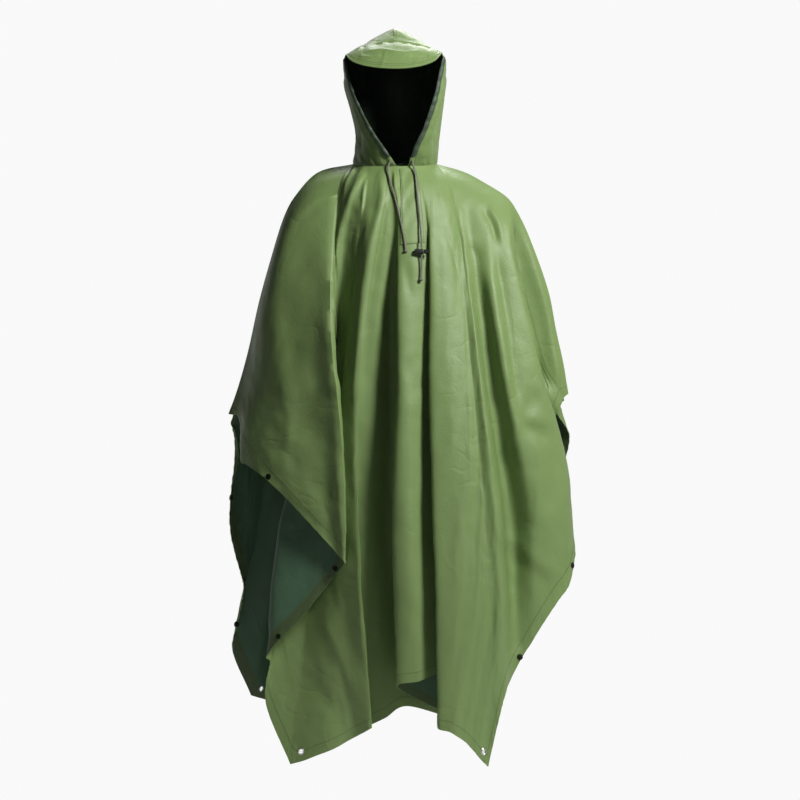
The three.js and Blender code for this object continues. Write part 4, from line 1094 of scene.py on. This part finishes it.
def makeVisor():
    last = float(len(hoodLeft["faceX"]) - 1)
    points = []
    places = np.linspace(-1, 1, visor["columns"] + 1)
    for a in places:
        rows = hoodLeft if a < 0 else hoodRight
        c = 1 - abs(a) * (1 - hoodLook["crownStart"])
        before, seam = hoodForm(rows, np.array([last - 0.05, last]), c)
        ahead = unit(seam - before)
        corner = hoodForm(rows, np.array([last]), hoodLook["crownStart"])[0] + ahead * visor["tip"]
        swell = math.cos(a * math.pi / 2)
        edge = np.array([corner[0] * math.sin(abs(a) * math.pi / 2),
                         corner[1] - visor["tip"] / 2 - visor["reach"] * swell,
                         blend(corner[2], visor["frontZ"], swell ** 1.3)])
        b = np.linspace(0, 1, visor["rows"] + 1)[:, None]
        line = blend(seam + ahead * 0.15, edge, b)
        line[:, 2] += visor["rise"] * np.sin(math.pi * b[:, 0]) * swell
        points.append(line)
    points = np.array(points)
    normals = gridNormals(points, 1)
    normals *= np.sign(np.sum(normals[..., 2]))
    across, down = arcs(points, 0), arcs(points, 1)
    toEdge = down[:, -1:] - down
    sides = step(0, 12, np.minimum(across, across[-1:] - across))
    rise = 1.5 * np.sin(across / 4.4 + 1.6 * grain(across / 20, down / 40, 4)) * np.exp(-down / 13)
    rise += placedCreases([("seamFold", -2.5, 5, 0, [(-62, 246), (-20, 262), (40, 256), (84, 244)]),
                           ("lowFold", 2.2, 5, 0, [(-70, 236), (-30, 240), (20, 232), (60, 238)]),
                           ("leftFold", 2.0, 5, 0, [(-80, 226), (-50, 222), (-26, 226)]),
                           ("rightFold", -2.0, 5, 0, [(30, 226), (56, 222), (76, 226)])],
                          points[..., 0], points[..., 2])
    rise += 1.2 * crumple(across, down, 42, 70, 1.8, 211) - 0.9 * crumple(across, down, 34, 10, 2.0, 223)
    rise *= step(0, 5, down) * step(0, 6, toEdge) * sides
    points = points + normals * rise[..., None]
    normals = gridNormals(points, 1)
    normals *= np.sign(np.sum(normals[..., 2]))
    thickness = 0.9 + 1.1 * step(9, 7.5, toEdge)
    # The under face takes the near-black painted shade finish.
    piece = clothObject("soft_visor", points, normals, thickness, [outside, hoodInsidePaintedShade],
                        np.stack([across, down], -1), toEdge + 11)
    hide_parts("hood_visor")
    return {"points": points, "normals": normals, "toEdge": toEdge, "down": down}


visorCloth = makeVisor()
print("visor and casings made")


# Placket: the strip below the chin, laid on the front panel
placket = {"folds": (22.2, 24.0), "rows": (0.025, 0.3333), "columns": 20, "lines": 60, "lift": 1.75,
           "thickness": 0.9}


def makePlacket():
    spans = len(panelLook["rowsPerSpan"])
    rowPlaces = np.concatenate([[0], *[(k + np.arange(1, n + 1) / n) / spans
                                       for k, n in enumerate(panelLook["rowsPerSpan"])]])
    f = np.linspace(*placket["folds"], placket["columns"] + 1)
    t = np.linspace(*placket["rows"], placket["lines"] + 1)
    columns = np.interp(f, frontSurface["f"], np.arange(len(frontSurface["f"])))
    rows = np.interp(t, rowPlaces, np.arange(len(rowPlaces)))
    i, j = np.meshgrid(columns, rows, indexing="ij")
    points = readGrid(frontSurface["finePoints"], i, j)
    normals = unit(readGrid(frontSurface["fineNormals"], i, j))
    across, down = arcs(points, 0), arcs(points, 1)
    edge = np.minimum(np.minimum(across, across[-1:] - across), down[:, -1:] - down)
    lift = placket["lift"] + 0.5 * np.sin(down / 9 + across / 6) * step(2, 10, edge) \
        + 0.6 * crumple(across, down, 26, 35, 1.6, 311)
    piece = clothObject("chin_placket", points, normals, placket["thickness"], [outside],
                        np.stack([across, down], -1), edge + 17, lift=lift)
    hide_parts("neck_placket")
    return {"points": points, "normals": normals, "edge": edge, "lift": lift}


strip = makePlacket()


# Sewing: short raised stitches along lines on the cloth
sewing = {"stitch": 3.1, "every": 4.3, "radius": 0.42}


def evenlyAlong(points, normals, every):
    gone = np.concatenate([[0], np.cumsum(np.linalg.norm(np.diff(points, axis=0), axis=1))])
    places = np.arange(every / 2, gone[-1], every)
    at = np.stack([np.interp(places, gone, points[:, k]) for k in range(3)], -1)
    ahead = np.stack([np.interp(places + 0.5, gone, points[:, k]) for k in range(3)], -1)
    behind = np.stack([np.interp(places - 0.5, gone, points[:, k]) for k in range(3)], -1)
    normal = np.stack([np.interp(places, gone, normals[:, k]) for k in range(3)], -1)
    return at, unit(ahead - behind), unit(normal)


def makeStitches(name, runs):
    vertices, faces = [], []
    for points, normals, lift in runs:
        at, ahead, normal = evenlyAlong(points, normals, sewing["every"])
        side = unit(np.cross(ahead, normal))
        for place, along, out, across in zip(at, ahead, normal, side):
            middle = place + out * (lift + sewing["radius"] * 0.4)
            start = len(vertices)
            vertices.append(middle - along * sewing["stitch"] / 2 - out * sewing["radius"])
            for reach in (-0.36, 0.36):
                for turn in (0.25, 0.75, 1.25, 1.75):
                    ring = across * math.cos(turn * math.pi) + out * math.sin(turn * math.pi)
                    vertices.append(middle + along * reach * sewing["stitch"] + ring * sewing["radius"])
            vertices.append(middle + along * sewing["stitch"] / 2 - out * sewing["radius"])
            for k in range(4):
                n = (k + 1) % 4
                faces.append((start, start + 1 + n, start + 1 + k))
                faces.append((start + 1 + k, start + 1 + n, start + 5 + n, start + 5 + k))
                faces.append((start + 9, start + 5 + k, start + 5 + n))
    mesh = bpy.data.meshes.new(name)
    mesh.from_pydata((np.array(vertices) * mm).tolist(), [], faces)
    mesh.materials.append(thread)
    piece = finishObject(name, mesh)
    bpy.ops.object.select_all(action="DESELECT")
    piece.select_set(True)
    bpy.context.view_layer.objects.active = piece
    bpy.ops.object.mode_set(mode="EDIT")
    bpy.ops.mesh.select_all(action="SELECT")
    bpy.ops.mesh.normals_make_consistent(inside=False)
    bpy.ops.object.mode_set(mode="OBJECT")
    piece.select_set(False)


# Line on a panel's cloth at an even distance from its free edge
def hemLine(surface, inset):
    places, normals = [], []
    for column, edge in enumerate(surface["edge"]):
        inner = np.nonzero(edge > inset)[0]
        if len(inner) == 0 or inner[-1] == len(edge) - 1:
            continue
        row = inner[-1]
        share = (edge[row] - inset) / (edge[row] - edge[row + 1])
        places.append(blend(surface["finePoints"][column, row], surface["finePoints"][column, row + 1], share))
        normals.append(blend(surface["fineNormals"][column, row], surface["fineNormals"][column, row + 1], share))
    return np.array(places), unit(np.array(normals))


# Line on a grid where a distance has a wanted value, read from each row or column
def gridLine(cloth, distances, wanted, byRow):
    order = (lambda lines: np.swapaxes(lines, 0, 1)) if byRow else (lambda lines: lines)
    places, normals = [], []
    for line, normal, far in zip(order(cloth["points"]), order(cloth["normals"]), order(distances)):
        if far[0] > far[-1]:
            line, normal, far = line[::-1], normal[::-1], far[::-1]
        if far[-1] <= wanted:
            continue
        places.append([np.interp(wanted, far, line[:, k]) for k in range(3)])
        normals.append([np.interp(wanted, far, normal[:, k]) for k in range(3)])
    return np.array(places), unit(np.array(normals))


for label, surface in (("front", frontSurface), ("back", backSurface)):
    points, normals = hemLine(surface, 19)
    makeStitches(f"hem_stitches_{label}", [(points, normals, 0.8), (points, -normals, 0.8)])
for name, half in hoodHalves.items():
    runs = [(*gridLine(half, half["fromFace"], 12.4, True), 0.45),
            (*gridLine(half, half["fromSeam"], 3.2, True), 0.45),
            (*gridLine(half, half["up"], 5.0, False), 0.45)]
    makeStitches(f"hood_stitches_{name}", runs)
makeStitches("visor_stitches", [(*gridLine(visorCloth, visorCloth["toEdge"], inset, False), 0.5)
                                for inset in (8.6, 14.0)])
flatLines = [(strip["points"][column] , strip["normals"][column], placket["lift"] + 0.5) for column in (1, -2)]
makeStitches("placket_stitches", flatLines)
print("sewing made")


# Snaps and eyelets: each kind is modelled once and copied to its places
snapSize = {"cap": 6.5, "socket": 5.5, "rise": 1.5, "seat": 1.0}
eyeletSize = {"middle": 6.5, "reach": 1.9, "flat": 0.62}


def joinPieces(pieces):
    bpy.ops.object.select_all(action="DESELECT")
    for piece in pieces:
        piece.select_set(True)
    bpy.context.view_layer.objects.active = pieces[0]
    bpy.ops.object.join()
    return bpy.context.view_layer.objects.active


def roundPlate(radius, depth, height):
    bpy.ops.object.select_all(action="DESELECT")
    bpy.ops.mesh.primitive_cylinder_add(vertices=28, radius=radius * mm, depth=depth * mm,
                                        location=(0, 0, height * mm))
    piece = bpy.context.object
    bpy.ops.object.transform_apply(location=True, rotation=True, scale=True)
    return piece


def modelSnap():
    cap = roundPlate(snapSize["cap"], snapSize["rise"], snapSize["seat"] + snapSize["rise"] / 2)
    editFaces(cap, lambda face: face.normal.z > 0.9)
    bpy.ops.mesh.bevel(offset=0.7 * mm, segments=3, affect="EDGES")
    editFaces(cap, lambda face: face.normal.z > 0.99 and face.area > 1e-5)
    for inward, down in ((1.0, -0.35), (0.8, 0.0), (0.7, 0.4), (1.0, 0.15)):
        bpy.ops.mesh.inset(thickness=inward * mm)
        bpy.ops.transform.translate(value=(0, 0, down * mm))
    bpy.ops.object.mode_set(mode="OBJECT")
    socket = roundPlate(snapSize["socket"], snapSize["rise"], -snapSize["seat"] - snapSize["rise"] / 2)
    editFaces(socket, lambda face: face.normal.z < -0.9)
    bpy.ops.mesh.bevel(offset=0.5 * mm, segments=2, affect="EDGES")
    editFaces(socket, lambda face: face.normal.z < -0.99 and face.area > 1e-5)
    for inward, down in ((1.6, 0.0), (0.5, 0.9), (0.4, 0.0)):
        bpy.ops.mesh.inset(thickness=inward * mm)
        bpy.ops.transform.translate(value=(0, 0, down * mm))
    bpy.ops.object.mode_set(mode="OBJECT")
    post = roundPlate(1.9, 2 * snapSize["seat"] + 0.4, 0)
    return joinPieces([cap, socket, post])


def modelEyelet():
    bpy.ops.object.select_all(action="DESELECT")
    bpy.ops.mesh.primitive_torus_add(major_radius=eyeletSize["middle"] * mm, minor_radius=eyeletSize["reach"] * mm,
                                     major_segments=36, minor_segments=14)
    ring = bpy.context.object
    editFaces(ring, lambda face: Vector(face.center[:2]).length > eyeletSize["middle"] * mm)
    bpy.ops.transform.resize(value=(1, 1, eyeletSize["flat"]))
    bpy.ops.object.mode_set(mode="OBJECT")
    return ring


models = {"snap": (modelSnap(), darkMetal, "snap_metal"), "eyelet": (modelEyelet(), brightMetal, "eyelet_metal")}
for title, kind, centre, normal in spots:
    model, finish, slotName = models[kind]
    bpy.ops.object.select_all(action="DESELECT")
    copy = bpy.data.objects.new(f"{title}_fitting", model.data.copy())
    bpy.context.collection.objects.link(copy)
    turn = Vector(normal).to_track_quat("Z", "Y").to_matrix().to_4x4()
    copy.data.transform(Matrix.Translation(Vector(centre) * mm) @ turn)
    copy.select_set(True)
    bpy.context.view_layer.objects.active = copy
    endHardPiece(copy, finish, [title], 40)
for model, _, _ in models.values():
    bpy.data.objects.remove(model)
print("snaps and eyelets made")


# Stage and light
stage = {"floor": -1.48, "radius": 1.3,
         "levels": [(-0.60, 0.06), (-0.30, 0.20), (-0.16, 0.42), (-0.085, 0.95), (0.085, 0.95), (0.18, 0.06)],
         "depths": [(-0.3, 0.13), (0.5, 1.0)]}


def makeStage():
    bpy.ops.mesh.primitive_circle_add(vertices=96, radius=stage["radius"], fill_type="NGON",
                                      location=(0, 0, stage["floor"]))
    floor = bpy.context.object
    floor.name = "pale_floor"
    f = Finish("pale_floor")
    place = f.add("TexCoord", out=3)
    tone = f.grain(place, 0.7, 2)
    floor.data.materials.append(f.shade(f.mix(tone, (0.80, 0.80, 0.80), (0.84, 0.84, 0.84)), 0.8 + tone * 0.05))
    floor.select_set(False)


# Soft surround: bright behind the poncho at the height of the eye, dimmer all round
def makeSurround():
    world = bpy.data.worlds.new("soft_surround")
    world.use_nodes = True
    tree = world.node_tree
    where = tree.nodes.new("ShaderNodeTexCoord")
    parts = tree.nodes.new("ShaderNodeSeparateXYZ")
    tree.links.new(where.outputs["Generated"], parts.inputs[0])

    def along(axis, stops):
        spread = tree.nodes.new("ShaderNodeMapRange")
        spread.inputs["From Min"].default_value = -1
        ramp = tree.nodes.new("ShaderNodeValToRGB")
        while len(ramp.color_ramp.elements) < len(stops):
            ramp.color_ramp.elements.new(0.5)
        for element, (level, strength) in zip(ramp.color_ramp.elements, stops):
            element.position = (level + 1) / 2
            element.color = (strength, strength, strength, 1)
        tree.links.new(parts.outputs[axis], spread.inputs["Value"])
        tree.links.new(spread.outputs["Result"], ramp.inputs[0])
        return ramp.outputs["Color"]

    both = tree.nodes.new("ShaderNodeMix")
    both.data_type = "RGBA"
    both.blend_type = "MULTIPLY"
    both.inputs[0].default_value = 1
    tree.links.new(along(2, stage["levels"]), both.inputs[6])
    tree.links.new(along(1, stage["depths"]), both.inputs[7])
    tree.links.new(both.outputs[2], tree.nodes["Background"].inputs["Color"])
    bpy.context.scene.world = world


def makeLamp(name, location, aim, size, power, colour=(1, 1, 1)):
    data = bpy.data.lights.new(name, "AREA")
    data.shape = "DISK"
    data.size = size
    data.energy = power
    data.color = colour
    lamp = bpy.data.objects.new(name, data)
    bpy.context.collection.objects.link(lamp)
    lamp.location = location
    lamp.rotation_euler = (Vector(aim) - Vector(location)).to_track_quat("-Z", "Y").to_euler()


makeStage()
makeSurround()
makeLamp("key_right_above", (1.75, -1.75, 1.45), (0.05, 0, -0.4), 0.8, 134, (1.0, 0.99, 0.95))
makeLamp("fill_front", (-0.4, -3.9, -0.3), (0, 0, -0.6), 1.2, 5, (0.97, 0.99, 1.0))
makeLamp("top_back", (0.2, 2.3, 2.0), (0, 0, -0.3), 1.4, 85)
print("stage and light made")
